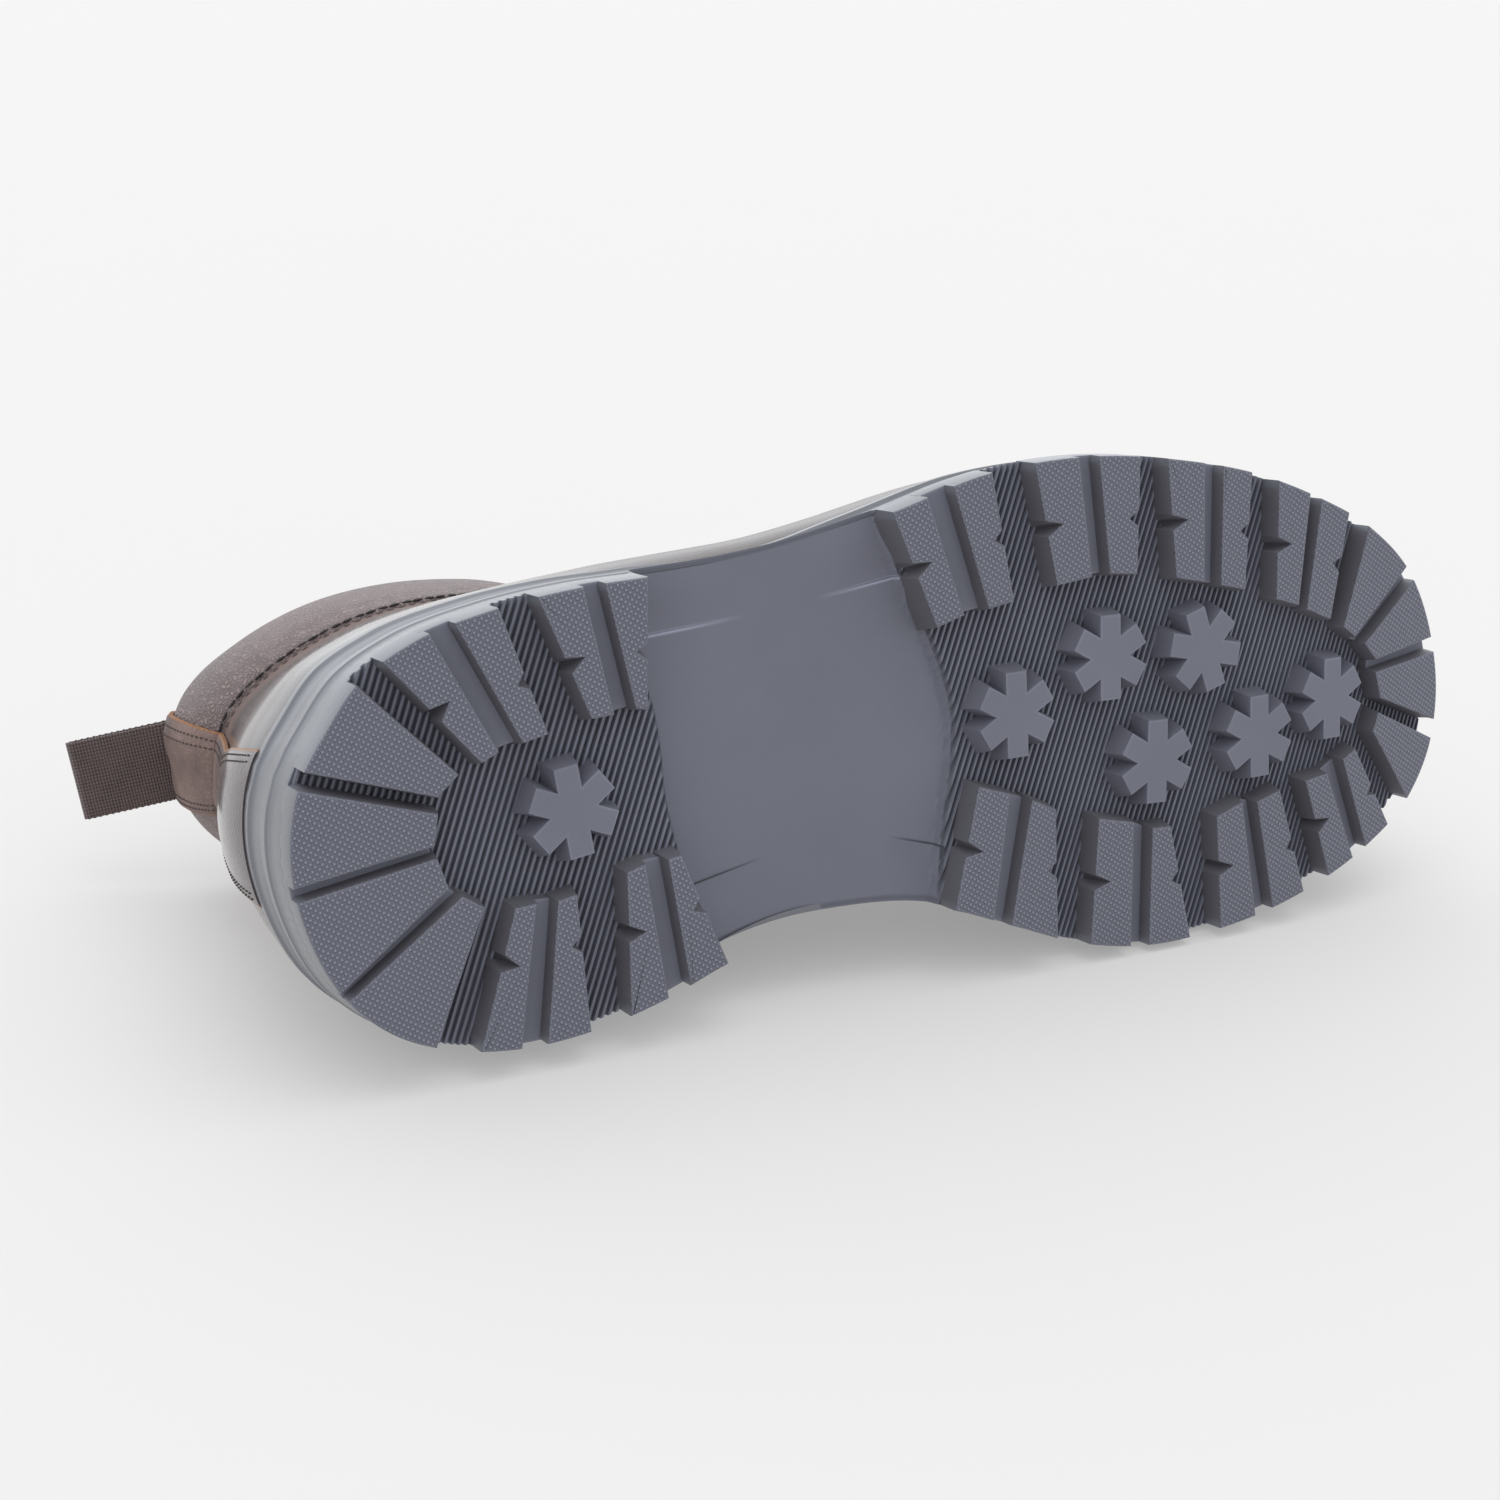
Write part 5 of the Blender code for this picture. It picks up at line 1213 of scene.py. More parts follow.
def rubber_finish(colours, knurl_pitch):
    """Blue-grey moulded rubber: knurled lug tops with a painted highlight on the dots, ribbed floors with
    painted shade in the grooves and along the waist's rim, flanks darkened by painted shade, top edges
    lightened by a painted highlight, a smoother streaked side, and fine steps on the waist with painted lit and
    shaded lines."""
    rubber = Finish("sole_rubber")
    base = colours.rubber
    u, v = rubber.sheet()
    dots = knurl_dots(u, v, knurl_pitch / SHEET_MM)
    masks = ("knurl", "edge", "flank", "groove", "wall", "waist")
    top, edge, flank, groove, wall, waist = (rubber.mask(name) for name in masks)
    deep, line = waist_steps(u, v)
    cloud = rubber.noise(scale=30.0, detail=4.0)
    fine = rubber.noise(scale=900.0, detail=2.0)
    stretched = rubber.add("CombineXYZ", None, {
        0: rubber.along(REST_TURN[:, 0]) * 10.0, 1: rubber.along(REST_TURN[:, 2]) * 900.0})
    streak = rubber.noise(scale=1.0, detail=4.0, rough=0.6, vector=stretched)
    tone = rubber.tones(cloud.step(0.3, 0.75), base, 0.96, 1.04)
    # Lug tops: a painted highlight on the raised dots and painted shade between them.
    tone = rubber.mix(top, tone, rubber.tones(dots, base, *KNURL_TONES))
    # Painted shade in the grooves between the floor's ribs.
    tone = rubber.mix(groove * GROOVE_MIX, tone, shade(base, GROOVE_TONE))
    # Painted shade: a dark line along the rim of the waist's steps.
    tone = rubber.mix(waist * (1 - waist) * RIM_MIX, tone, shade(base, RIM_TONE))
    # Painted shade on the sides of the lugs, channels and studs.
    tone = rubber.mix(flank * FLANK_MIX, tone, colours.flank)
    # Painted highlight on the rounded top edges of the lugs, channels and studs, in patches.
    tone = rubber.mix(edge * cloud.step(0.2, 0.7) * EDGE_MIX, tone, shade(base, EDGE_TONE))
    side = rubber.tones(streak.step(0.3, 0.7), colours.wall, 0.92, 1.08)
    tone = rubber.mix(wall, tone, side)
    # Painted lit line on the outer side of the waist's fine steps, painted shaded line on the inner side.
    tone = rubber.mix(waist * line.most(0.0) * LIT_MIX, tone, shade(base, LIT_TONE))
    tone = rubber.mix(waist * (line * -SHADED_MIX).most(0.0), tone, shade(base, SHADED_TONE))
    bumps = rubber.bump(top * dots - waist * deep * STEP_DEPTH, strength=0.9, distance=0.0005)
    grain = rubber.bump(fine, strength=0.12, distance=0.0003, normal=bumps)
    return rubber.set(Base_Color=tone, Roughness=0.50 + fine * 0.14 - wall * 0.26, Normal=grain,
                      Specular_IOR_Level=0.5, Coat_Weight=wall * 0.4, Coat_Roughness=0.2)


def leather_finish(colours):
    """Smooth waxed leather with a polished coat: fine pores, cloudy patches of a pale blue-grey painted
    reflection, a browner band at the top line.
    """
    leather = Finish("brown_leather")
    base, band_tone = colours.leather, colours.strip
    band, shine = leather.mask("band"), leather.mask("shine")
    cloud = leather.noise(scale=28.0, detail=5.0, rough=0.6)
    pores = leather.cells(scale=1050.0)
    fine = leather.noise(scale=700.0)
    tone = leather.tones(cloud.step(0.3, 0.72), base, 0.72, 1.28)
    # Cloudy patches of pale painted reflection where the leather is polished.
    tone = leather.mix(cloud.step(0.2, 0.8) * shine * 0.5, tone, colours.painted_sheen)
    brown = leather.tones(cloud.step(0.3, 0.7), band_tone, 0.8, 1.1)
    tone = leather.mix(band, tone, brown)
    tone = leather.mix(pores.step(0.16, 0.0) * 0.30, tone, shade(base, 0.45))
    height = pores.step(0.0, 0.22) * 0.6 + fine * 0.5
    normal = leather.bump(height, strength=0.24, distance=0.0003)
    normal = leather.bump(leather.noise(scale=60.0), strength=0.14, distance=0.0016, normal=normal)
    rough = 0.52 + cloud * 0.12 + band * 0.35 - shine * 0.26
    return leather.set(Base_Color=tone, Roughness=rough, Normal=normal, Specular_IOR_Level=0.35,
                       Coat_Weight=shine * (1 - band), Coat_Roughness=0.18, Coat_IOR=1.6)


def collar_finish(colours):
    """Soft pebbled leather: rounded cells, lighter on their crowns by a painted highlight and darker in the
    creases between them by painted shade, over slow changes of tone.
    """
    collar = Finish("collar_leather")
    base = colours.collar
    bend = collar.noise(scale=260.0, detail=2.0, rough=0.5, give="Color")
    warped = collar.mix(0.0016, collar.place(), bend, blend="LINEAR_LIGHT")
    pebble = collar.cells(scale=900.0, vector=warped)
    small = collar.cells(scale=1900.0, vector=warped)
    cloud = collar.noise(scale=35.0, detail=4.0)
    crown = pebble.step(0.02, 0.32)
    # Painted shade in the creases and a painted highlight on the crowns of the pebbles.
    tone = collar.tones(crown, base, 0.62, 1.12)
    tone = collar.mix(cloud.step(0.3, 0.75) * 0.5, tone, shade(base, 1.25))
    normal = collar.bump(crown + small.step(0.0, 0.3) * 0.3, strength=0.85, distance=0.0006)
    slow = collar.noise(scale=70.0, detail=2.0)
    normal = collar.bump(slow, strength=0.2, distance=0.002, normal=normal)
    return collar.set(Base_Color=tone, Roughness=0.46 + cloud * 0.16, Normal=normal, Coat_Weight=0.12,
                      Coat_Roughness=0.35)


def strip_finish(colours):
    """Satin tan-brown leather with pulled-up lighter patches, polished at its foot, where the dark leather
    greyed by a pale painted reflection takes over, with raw orange-tan cut edges."""
    strip = Finish("strip_leather")
    base, raw = colours.strip, colours.raw_edge
    edge, polish = strip.mask("edge"), strip.mask("polish")
    cloud = strip.noise(scale=55.0, detail=5.0, rough=0.6)
    pores = strip.cells(scale=1000.0)
    fine = strip.noise(scale=1500.0)
    tone = strip.tones(cloud.step(0.32, 0.70), base, 0.66, 1.42)
    # The polished foot: the dark leather greyed by a pale painted reflection.
    waxed = strip.mix(0.6, colours.leather, colours.painted_sheen)
    tone = strip.mix(polish * 0.85, tone, waxed)
    tone = strip.mix(pores.step(0.14, 0.0) * 0.4, tone, shade(base, 0.5))
    cut = strip.tones(fine.step(0.3, 0.7), raw, 0.75, 1.15)
    tone = strip.mix(edge.step(0.35, 0.7), tone, cut)
    normal = strip.bump(pores.step(0.0, 0.2) + fine * 0.5, strength=0.28, distance=0.0004)
    normal = strip.bump(strip.noise(scale=90.0), strength=0.15, distance=0.0015, normal=normal)
    rough = 0.50 + cloud * 0.16 + edge * 0.2 - polish * 0.26
    return strip.set(Base_Color=tone, Roughness=rough, Normal=normal, Specular_IOR_Level=0.35,
                     Coat_Weight=polish * (1 - edge), Coat_Roughness=0.16, Coat_IOR=1.6)


def tape_finish(colours):
    """Flat ribbed tape: cords along it, crossed at even steps by worn threads in straight columns, and darker
    sewn lines at its root."""
    tape = Finish("tape")
    base = colours.tape
    u, v = tape.sheet()
    cord = (v / TAPE_CORD * math.pi).sine().size()
    crossing = (u / TAPE_CROSSING * math.pi).sine().size()
    wear = tape.noise(scale=190.0)
    threads = (0.45 + cord * 0.55) * (0.35 + crossing * 0.65) * (0.6 + wear * 0.8)
    root = u.step(TAPE_ROOT[1], TAPE_ROOT[0]) * (0.55 + (u * 60.0).sine() * 0.45)
    fuzz = tape.noise(scale=1600.0)
    tone = tape.tones(threads.step(0.1, 0.9), base, 0.15, 2.2)
    tone = tape.mix(fuzz.step(0.45, 0.8) * 0.35, tone, shade(base, 2.0))
    tone = tape.mix(root * 0.75, tone, shade(base, 0.35))
    normal = tape.bump(threads + fuzz * 0.2, strength=0.8, distance=0.0005)
    return tape.set(Base_Color=tone, Roughness=0.82 + fuzz * 0.12, Normal=normal, Sheen_Weight=0.25,
                    Sheen_Roughness=0.5)


def lining_finish(colours):
    """Matte cloth lining with rubbed lighter patches and a fine weave: two crossing waves, each over where
    the other is under."""
    lining = Finish("lining")
    base = colours.lining
    half = math.pi / LINING_PITCH
    u, v = lining.sheet()
    warp, weft = (u * (2 * half)).sine(), (v * (2 * half)).sine()
    over = (u * half).sine() * (v * half).sine()
    threads = warp.size() * 0.5 + weft.size() * 0.5 + over * 0.35
    cloud = lining.noise(scale=40.0, detail=4.0)
    tone = lining.tones(threads.step(0.2, 1.0), base, 0.65, 1.1)
    tone = lining.mix(cloud.step(0.45, 0.8) * 0.4, tone, shade(base, 1.5))
    normal = lining.bump(threads, strength=0.35, distance=0.0003)
    return lining.set(Base_Color=tone, Roughness=0.85 + cloud * 0.1, Normal=normal, Sheen_Weight=0.2,
                      Sheen_Roughness=0.5)


def lace_finish(colours):
    """Round braided cord: strands cross in diamonds round it."""
    lace = Finish("lace_cord")
    base = colours.lace
    u, v = lace.sheet()
    along, around = LACE_STRANDS
    turn = 2 * math.pi
    strands = ((u * along + v * around) * turn).sine().most(((u * along - v * around) * turn).sine())
    fuzz = lace.noise(scale=1800.0, detail=2.0)
    tone = lace.tones(strands.step(-0.2, 0.9), base, 0.4, 1.4)
    tone = lace.mix(fuzz.step(0.5, 0.8) * 0.35, tone, shade(base, 2.2))
    normal = lace.bump(strands, strength=0.7, distance=0.0004)
    return lace.set(Base_Color=tone, Roughness=0.72 + fuzz * 0.2, Normal=normal)


def metal_finish(colours):
    """Aged metal rings: brushed tone with darker patina."""
    metal = Finish("eyelet_metal")
    base = colours.metal
    patina = metal.noise(scale=420.0, detail=4.0)
    fine = metal.noise(scale=2400.0, detail=2.0)
    tone = metal.tones(patina.step(0.35, 0.7), base, 0.45, 1.2)
    bare = 1.0 - patina.step(0.55, 0.85) * 0.3
    normal = metal.bump(fine, strength=0.1, distance=0.0002)
    return metal.set(Base_Color=tone, Metallic=bare, Roughness=0.28 + patina * 0.3, Normal=normal)


def thread_finish(name, colour):
    """Sewing thread: a twisted two-ply cord with a slight waxed sheen."""
    thread = Finish(name)
    u, _ = thread.sheet()
    twist = thread.noise(scale=1500.0, detail=2.0)
    ply = (u * 22.0).sine()
    tone = thread.tones((ply * 0.5 + twist).step(0.1, 0.9), colour, 0.55, 1.3)
    normal = thread.bump(ply, strength=0.4, distance=0.0002)
    return thread.set(Base_Color=tone, Roughness=0.5 + twist * 0.2, Normal=normal)


def floor_finish(colours):
    """Plain pale paper with a barely seen grain."""
    floor = Finish("floor_paper")
    base = colours.floor
    grain = floor.noise(scale=8.0, detail=4.0)
    tone = floor.tones(grain, base, 0.995, 1.005)
    return floor.set(Base_Color=tone, Roughness=0.9, Specular_IOR_Level=0.1, Emission_Color=(1.0, 1.0, 1.0),
                     Emission_Strength=FLOOR_GLOW)


# What a user may change.

def size_of(name, description, default):
    return FloatProperty(name=name, description=description, default=default, unit="LENGTH", precision=4)


def colour_of(name, description, default):
    return FloatVectorProperty(name=name, description=description, default=default, subtype="COLOR", size=3,
                               min=0.0, max=1.0)


class BootSizes(bpy.types.PropertyGroup):
    """Sizes of the boot's small features."""

    rib_pitch: size_of("Rib pitch", "Distance between the fine ribs between the lugs", 0.00168)
    rib_depth: size_of("Rib depth", "Depth of the grooves between those ribs", 0.0011)
    knurl_pitch: size_of("Knurl pitch", "Distance between the raised dots on the lugs", 0.00115)
    band_width: size_of("Band width", "Width of the browner band under the collar", 0.0065)
    band_fade: size_of("Band fade", "Width over which that band fades into the upper", 0.0070)
    stitch_length: size_of("Stitch length", "Length of one stitch", 0.0024)
    stitch_gap: size_of("Stitch gap", "Gap between two stitches", 0.0007)
    stitch_radius: size_of("Stitch radius", "Half the thickness of the thread", 0.00036)


class BootColours(bpy.types.PropertyGroup):
    """Base colours of the boot's materials."""

    rubber: colour_of("Rubber", "Moulded sole", (0.144, 0.148, 0.186))
    # Painted shade: a darker, browner tone for the sides of the lugs, channels and studs.
    flank: colour_of("Flank", "Sides of the lugs and studs", (0.074, 0.064, 0.063))
    wall: colour_of("Side", "Outer side of the sole", (0.140, 0.145, 0.164))
    leather: colour_of("Leather", "Polished leather of the upper", (0.060, 0.036, 0.028))
    # Painted reflection: a pale blue-grey that stands in for the studio light on the polished leather.
    painted_sheen: colour_of("Wax", "Pale wax on the polished leather", (0.105, 0.108, 0.126))
    collar: colour_of("Collar", "Pebbled leather of the padded collar", (0.252, 0.190, 0.187))
    strip: colour_of("Strip", "Leather strip up the back seam", (0.188, 0.127, 0.112))
    raw_edge: colour_of("Raw edge", "Cut edge of the leather strips", (0.300, 0.150, 0.080))
    tape: colour_of("Tape", "Woven tape of the pull loop", (0.064, 0.043, 0.042))
    lining: colour_of("Lining", "Cloth inside the boot", (0.130, 0.100, 0.085))
    lace: colour_of("Lace", "Braided lace", (0.070, 0.046, 0.036))
    metal: colour_of("Metal", "Eyelets", (0.330, 0.280, 0.230))
    thread: colour_of("Thread", "Stitching on the leather", (0.055, 0.038, 0.034))
    seam: colour_of("Seam", "Stitching along the collar's seam", (0.030, 0.024, 0.024))
    floor: colour_of("Floor", "Paper under the boot", (0.483, 0.466, 0.454))


def sizes_in_mm(context):
    """The sizes in millimetres, as plain numbers."""
    sizes = context.scene.boot_sizes
    return {name: getattr(sizes, name) / MM for name in BootSizes.__annotations__}


# Pieces.

def sew(stitches, name, thread, colour):
    """Makes one piece of stitches in a thread of their own."""
    stitches.build(name, thread_finish(thread, colour), [], "lace_cord")


class MakeOutsole(bpy.types.Operator):
    """Moulded rubber sole with ribbed floors, lugs, star studs and a stepped side"""
    bl_idname = "boot.make_outsole"
    bl_label = "Outsole"

    def execute(self, context):
        sizes = sizes_in_mm(context)
        rubber = rubber_finish(context.scene.boot_colours, sizes["knurl_pitch"])
        plan = SolePlan()
        body, tread = Shell(), Shell()
        sole_body(body, plan, sizes["rib_pitch"], sizes["rib_depth"])
        body.build("outsole_body", rubber, ["outsole"], "sole_rubber", BODY_CREASE)
        lugs(tread, plan)
        channels(tread, plan)
        studs(tread)
        tread.build("outsole_lugs", rubber, ["outsole"], "sole_rubber", TREAD_CREASE)
        return {"FINISHED"}


def upper_rows(shape, walk):
    """Up values of the upper's rows, from the top line down: set distances first, then even steps to the
    sole."""
    near_top = shape.below_edge(walk[None], np.array(UPPER_TOP_ROWS)[:, None])
    even = np.linspace(1, 0, UPPER_EVEN_ROWS + 1)[1:, None]
    return np.concatenate([near_top, near_top[-1:] * even])


def vamp_creases(point):
    """Lift of the outer face at the flex creases: a bell-shaped trough over a line that bows back towards the
    sides, less a lower ridge ahead of it, fading out towards the sole."""
    x, y, z = np.moveaxis(point, -1, 0)
    fade = ramp(z, *VAMP_CREASE_HEIGHT)
    share, ahead = VAMP_RIDGE
    lift = 0.0
    for middle, depth, half in VAMP_CREASES:
        away = x - middle + VAMP_CREASE_BOW * y ** 2
        ridge = share * np.exp(-((away - ahead) / half) ** 2)
        lift = lift - depth * fade * (np.exp(-(away / half) ** 2) - ridge)
    return lift


class MakeUpper(bpy.types.Operator):
    """Hollow leather upper with its browner band, flex creases and stitching"""
    bl_idname = "boot.make_upper"
    bl_label = "Upper"

    def execute(self, context):
        sizes = sizes_in_mm(context)
        colours = context.scene.boot_colours
        leather = leather_finish(colours)
        shape = UpperShape(SolePlan())
        walk = np.arange(UPPER_ROUND) * shape.period / UPPER_ROUND
        up = upper_rows(shape, walk)
        point, normal = shape.frame(walk[None], up)
        first, last = shape.at_section(THROAT_SECTION, True), shape.at_section(THROAT_SECTION, False)
        collar_part = ease((walk - first) / BAND_END_RUN) * ease((last - walk) / BAND_END_RUN)
        down = (1 - up) * shape.edge_rate(walk)
        band = collar_part * (1 - ease((down - sizes["band_width"]) / sizes["band_fade"]))
        shine = 1 - SHINE_LOSS * ramp(point[..., 0], *SHINE_FADE)
        outer = point + normal * vamp_creases(point)[..., None]
        inner = (point - normal * UPPER_WALL)[::UPPER_INNER_STEP]
        inner[-1, :, 2] = point[-1, :, 2]
        rings = np.concatenate([outer, inner[::-1]])
        down = np.concatenate([down, down[::UPPER_INNER_STEP][::-1]])
        sheet = np.stack([np.broadcast_to(walk / SHEET_WALK, down.shape), down / SHEET_MM], axis=-1)
        number = np.arange(UPPER_ROUND)
        following = np.roll(number, -1)
        foot = (len(rings) - 1) * UPPER_ROUND
        rim = np.stack([number, following, foot + following, foot + number], axis=1)
        plain = np.zeros((len(inner), UPPER_ROUND))
        shell = Shell()
        shell.add(rings, [grid_quads(len(rings), UPPER_ROUND, closed=True), rim], sheet,
                  band=np.concatenate([band, plain]), shine=np.concatenate([shine, plain]))
        shell.build("upper_leather", leather, ["upper"], "brown_leather", LEATHER_CREASE)
        stitches = Shell()
        line = np.linspace(first + BAND_ENDS, last - BAND_ENDS, BAND_POINTS)
        stitch_row(stitches, *shape.above(line, BAND_DROP, BAND_SEAT), *BAND_STITCH)
        sew(stitches, "band_stitches", "band_thread", colours.thread)
        return {"FINISHED"}


class MakeCollar(bpy.types.Operator):
    """Padded collar of pebbled leather with its sewn seam"""
    bl_idname = "boot.make_collar"
    bl_label = "Collar"

    def execute(self, context):
        colours = context.scene.boot_colours
        collar = CollarShape(UpperShape(SolePlan()))
        walk = np.linspace(collar.first, collar.last, COLLAR_ROUND)
        turn = np.linspace(0, collar.girth, COLLAR_POINTS, endpoint=False)
        rings = collar.surface(walk, turn)
        normal = face_normals(np.concatenate([rings[:, -2:], rings, rings[:, :2]], axis=1))[:, 2:-2]
        middle = rings.mean(axis=1, keepdims=True)
        normal *= np.sign(np.sum(normal * (rings - middle), axis=-1).mean())
        reach = reaches(collar.shape.top(walk))
        near_seam = np.exp(-turn / PUCKER_REACH) + np.exp(-(collar.girth - turn) / PUCKER_REACH)
        drift, drift_pitch = PUCKER_DRIFT
        wave = np.sin(2 * math.pi * reach / PUCKER_PITCH + drift * np.sin(reach / drift_pitch))
        rings = rings + normal * (PUCKER_DEPTH * wave[:, None] * near_seam[None])[..., None]
        ends = []
        for last, beside in ((0, 1), (-1, -2)):
            centre = rings[last].mean(axis=0)
            ahead = unit(centre - rings[beside].mean(axis=0))
            ends.append([centre + (rings[last] - centre) * part + ahead * step
                         for part, step in COLLAR_END_RINGS])
        rings = np.concatenate([ends[0][::-1], rings, ends[1]])
        reach = np.pad(reach, len(COLLAR_END_RINGS), mode="edge")
        shell = Shell()
        shell.tube(rings, sheet_grid(reach, turn))
        leather = collar_finish(colours)
        padding = shell.build("collar_padding", leather, ["collar"], "collar_leather")
        stitches = Shell()
        line = np.linspace(collar.first + SEAM_ENDS, collar.last - SEAM_ENDS, SEAM_POINTS)
        strip = collar.surface(line, np.array([SEAM_RISE - SEAM_STEP, SEAM_RISE, SEAM_RISE + SEAM_STEP]))
        path, lift = strip[:, 1], face_normals(strip)[:, 1]
        outward = path - collar.surface(line, turn).mean(axis=1)
        lift *= np.sign(np.sum(lift * outward, axis=1))[:, None]
        stitch_row(stitches, path, lift, *SEAM_STITCH)
        sew(stitches, "collar_stitches", "seam_thread", colours.seam)
        return {"FINISHED"}


class MakeBackstay(bpy.types.Operator):
    """Strip up the back seam with raw edges and double rows of stitching"""
    bl_idname = "boot.make_backstay"
    bl_label = "Back strip"

    def execute(self, context):
        colours = context.scene.boot_colours
        shape = UpperShape(SolePlan())
        collar = CollarShape(shape)
        across = np.linspace(-1, 1, STRIP_ACROSS)
        up = np.linspace(STRIP_FOOT, 1.0, STRIP_UPPER_ROWS)
        half = smooth(up, *zip(*STRIP_WIDTHS))
        walk = shape.shifted(np.full((len(up), STRIP_ACROSS), shape.at_section(HEEL_SECTION)),
                             across[None] * half[:, None], up[:, None])
        point, normal = shape.frame(walk, np.broadcast_to(up[:, None], walk.shape))
        turn = np.linspace(0, collar.knots[STRIP_TOP_CORNER], STRIP_COLLAR_ROWS + 1)[1:]
        padding = collar.surface(walk[-1], turn).swapaxes(0, 1)
        point = np.concatenate([point, padding])
        half = np.concatenate([half, np.full(STRIP_COLLAR_ROWS, STRIP_HALF)])
        lift = face_normals(point)
        lift *= np.sign(np.sum(lift[:len(up)] * normal))
        inwards = half[:, None] - np.abs(across)[None] * half[:, None]
        edge = ease((RAW_EDGE_WIDTH - inwards) / RAW_EDGE_RUN)
        near = point + lift * GAP
        far = point + lift * (GAP + STRIP_THICK - EDGE_DROP * edge ** 2)[..., None]
        higher = np.append(up, np.ones(STRIP_COLLAR_ROWS))
        polish = 1 - ramp(higher, *POLISH_FADE)
        sheet = sheet_grid(reaches(point[:, STRIP_ACROSS // 2]), across * STRIP_HALF)[..., ::-1]
        shell = Shell()
        shell.plate(far, near, sheet, edge=edge, polish=np.broadcast_to(polish[:, None], edge.shape))
        shell.build("backstay_strip", strip_finish(colours), ["backstay"], "strip_leather", LEATHER_CREASE)
        stitches = Shell()
        top = point + lift * (GAP + STRIP_THICK + STITCH_SEAT)
        rows = np.arange(len(half))
        kept = slice(STITCH_TRIM, -STITCH_TRIM)
        for side in (-1, 1):
            for inset in STRIP_STITCH_INSETS:
                at = (side * (1 - inset / half) + 1) / 2 * (STRIP_ACROSS - 1)
                low = np.clip(at.astype(int), 0, STRIP_ACROSS - 2)
                part = (at - low)[:, None]
                path, aim = (grid[rows, low] * (1 - part) + grid[rows, low + 1] * part
                             for grid in (top, lift))
                stitch_row(stitches, path[kept], aim[kept], *STRIP_STITCH)
        sew(stitches, "backstay_stitches", "strip_thread", colours.thread)
        return {"FINISHED"}


def loop_line():
    """Outline of the folded tape from the side, and the line inside it: along the upper leg, round a half
    circle and back along the lower leg. Columns: distance from the root, height."""
    half = LOOP_OPEN / 2 + LOOP_TAPE
    bend = LOOP_LENGTH - half
    straight = np.linspace(0, bend, LOOP_ROWS)
    angle = np.linspace(math.pi / 2, -math.pi / 2, LOOP_BEND_ROWS)[1:-1]
    outer = np.concatenate([np.stack([straight, np.full(LOOP_ROWS, half)], axis=1),
                            np.stack([bend + half * np.cos(angle), half * np.sin(angle)], axis=1),
                            np.stack([straight[::-1], np.full(LOOP_ROWS, -half)], axis=1)])
    shrink = (half - LOOP_TAPE) / half
    inner = np.stack([np.where(outer[:, 0] < bend, outer[:, 0], bend + (outer[:, 0] - bend) * shrink),
                      outer[:, 1] * shrink], axis=1)
    return outer, inner


class MakePullLoop(bpy.types.Operator):
    """Loop of flat woven tape at the top of the back seam"""
    bl_idname = "boot.make_pull_loop"
    bl_label = "Pull loop"

    def execute(self, context):
        collar = CollarShape(UpperShape(SolePlan()))
        pair = collar.surface(np.array([collar.heel, collar.heel + 1.0]),
                              np.array([collar.knots[STRIP_TOP_CORNER], 0.0]))
        root, base = pair[0]
        out = unit((root - base) * (1, 1, 0))
        outer, inner = loop_line()
        start = root + out * LOOP_OUT + np.array([0, 0, LOOP_LIFT + outer[0, 1]])
        direction = unit(np.array([-LOOP_LENGTH, 0.0, LOOP_RISE]))
        sideways = np.array([0.0, -1.0, 0.0])
        upward = np.cross(direction, sideways)
        turn = math.radians(LOOP_TURN)
        direction, sideways = (direction * math.cos(turn) - sideways * math.sin(turn),
                               sideways * math.cos(turn) + direction * math.sin(turn))
        across = np.linspace(-1, 1, LOOP_ACROSS) * LOOP_WIDTH / 2
        outside = np.abs(across) - LOOP_WIDTH / 2 + SELVEDGE_WIDTH
        selvedge = 1 - SELVEDGE_THIN * ease(outside / SELVEDGE_WIDTH)
        length = reaches(outer)
        waves = np.abs(np.sin(length * math.pi / TAPE_CROSSING / (2 * SHEET_MM)))
        wavy = 1 - LOOP_SCALLOP * 2 / LOOP_WIDTH * waves[:, None]
        mean = (inner[:, 1:] + outer[:, 1:]) / 2

        def sweep(line):
            """Grid of the tape's face over a line, pulled square at its root and thinner at its selvedges."""
            middle = start + line[:, :1] * direction + line[:, 1:] * upward
            pull = -np.tan(turn) * np.exp(-line[:, :1] / LOOP_PULL_RUN) * across[None]
            shift = (mean - line[:, 1:]) * (1 - selvedge[None])
            return (middle[:, None] + (across[None] * wavy)[..., None] * sideways
                    + pull[..., None] * direction + shift[..., None] * upward)

        shell = Shell()
        shell.plate(sweep(outer), sweep(inner), sheet_grid(length, across))
        tape = tape_finish(context.scene.boot_colours)
        shell.build("pull_loop_tape", tape, ["pull_loop"], "tape", TAPE_CREASE)
        return {"FINISHED"}


class MakeInsole(bpy.types.Operator):
    """Cloth-covered footbed with a cupped edge"""
    bl_idname = "boot.make_insole"
    bl_label = "Footbed"

    def execute(self, context):
        plan = SolePlan()
        part = np.linspace(0, math.pi, INSOLE_ROWS)
        x = INSOLE_ENDS[0] + (INSOLE_ENDS[1] - INSOLE_ENDS[0]) * (1 - np.cos(part)) / 2
        outer, inner = (plan.shelf(plan.index(x, side), INSOLE_INSET) for side in (True, False))
        across = np.linspace(0, 1, INSOLE_ACROSS)
        flat = outer[:, None] + (inner - outer)[:, None] * across[None, :, None]
        low = on_sole(flat)
        cup = INSOLE_CUP * np.abs(2 * across - 1) ** INSOLE_CUP_POWER
        high = low + np.array([0, 0, 1.0]) * (INSOLE_THICK + cup)[None, :, None]
        shell = Shell()
        shell.plate(high, low, flat / SHEET_MM)
        lining = lining_finish(context.scene.boot_colours)
        shell.build("insole_bed", lining, ["insole"], "lining", LEATHER_CREASE)
        return {"FINISHED"}


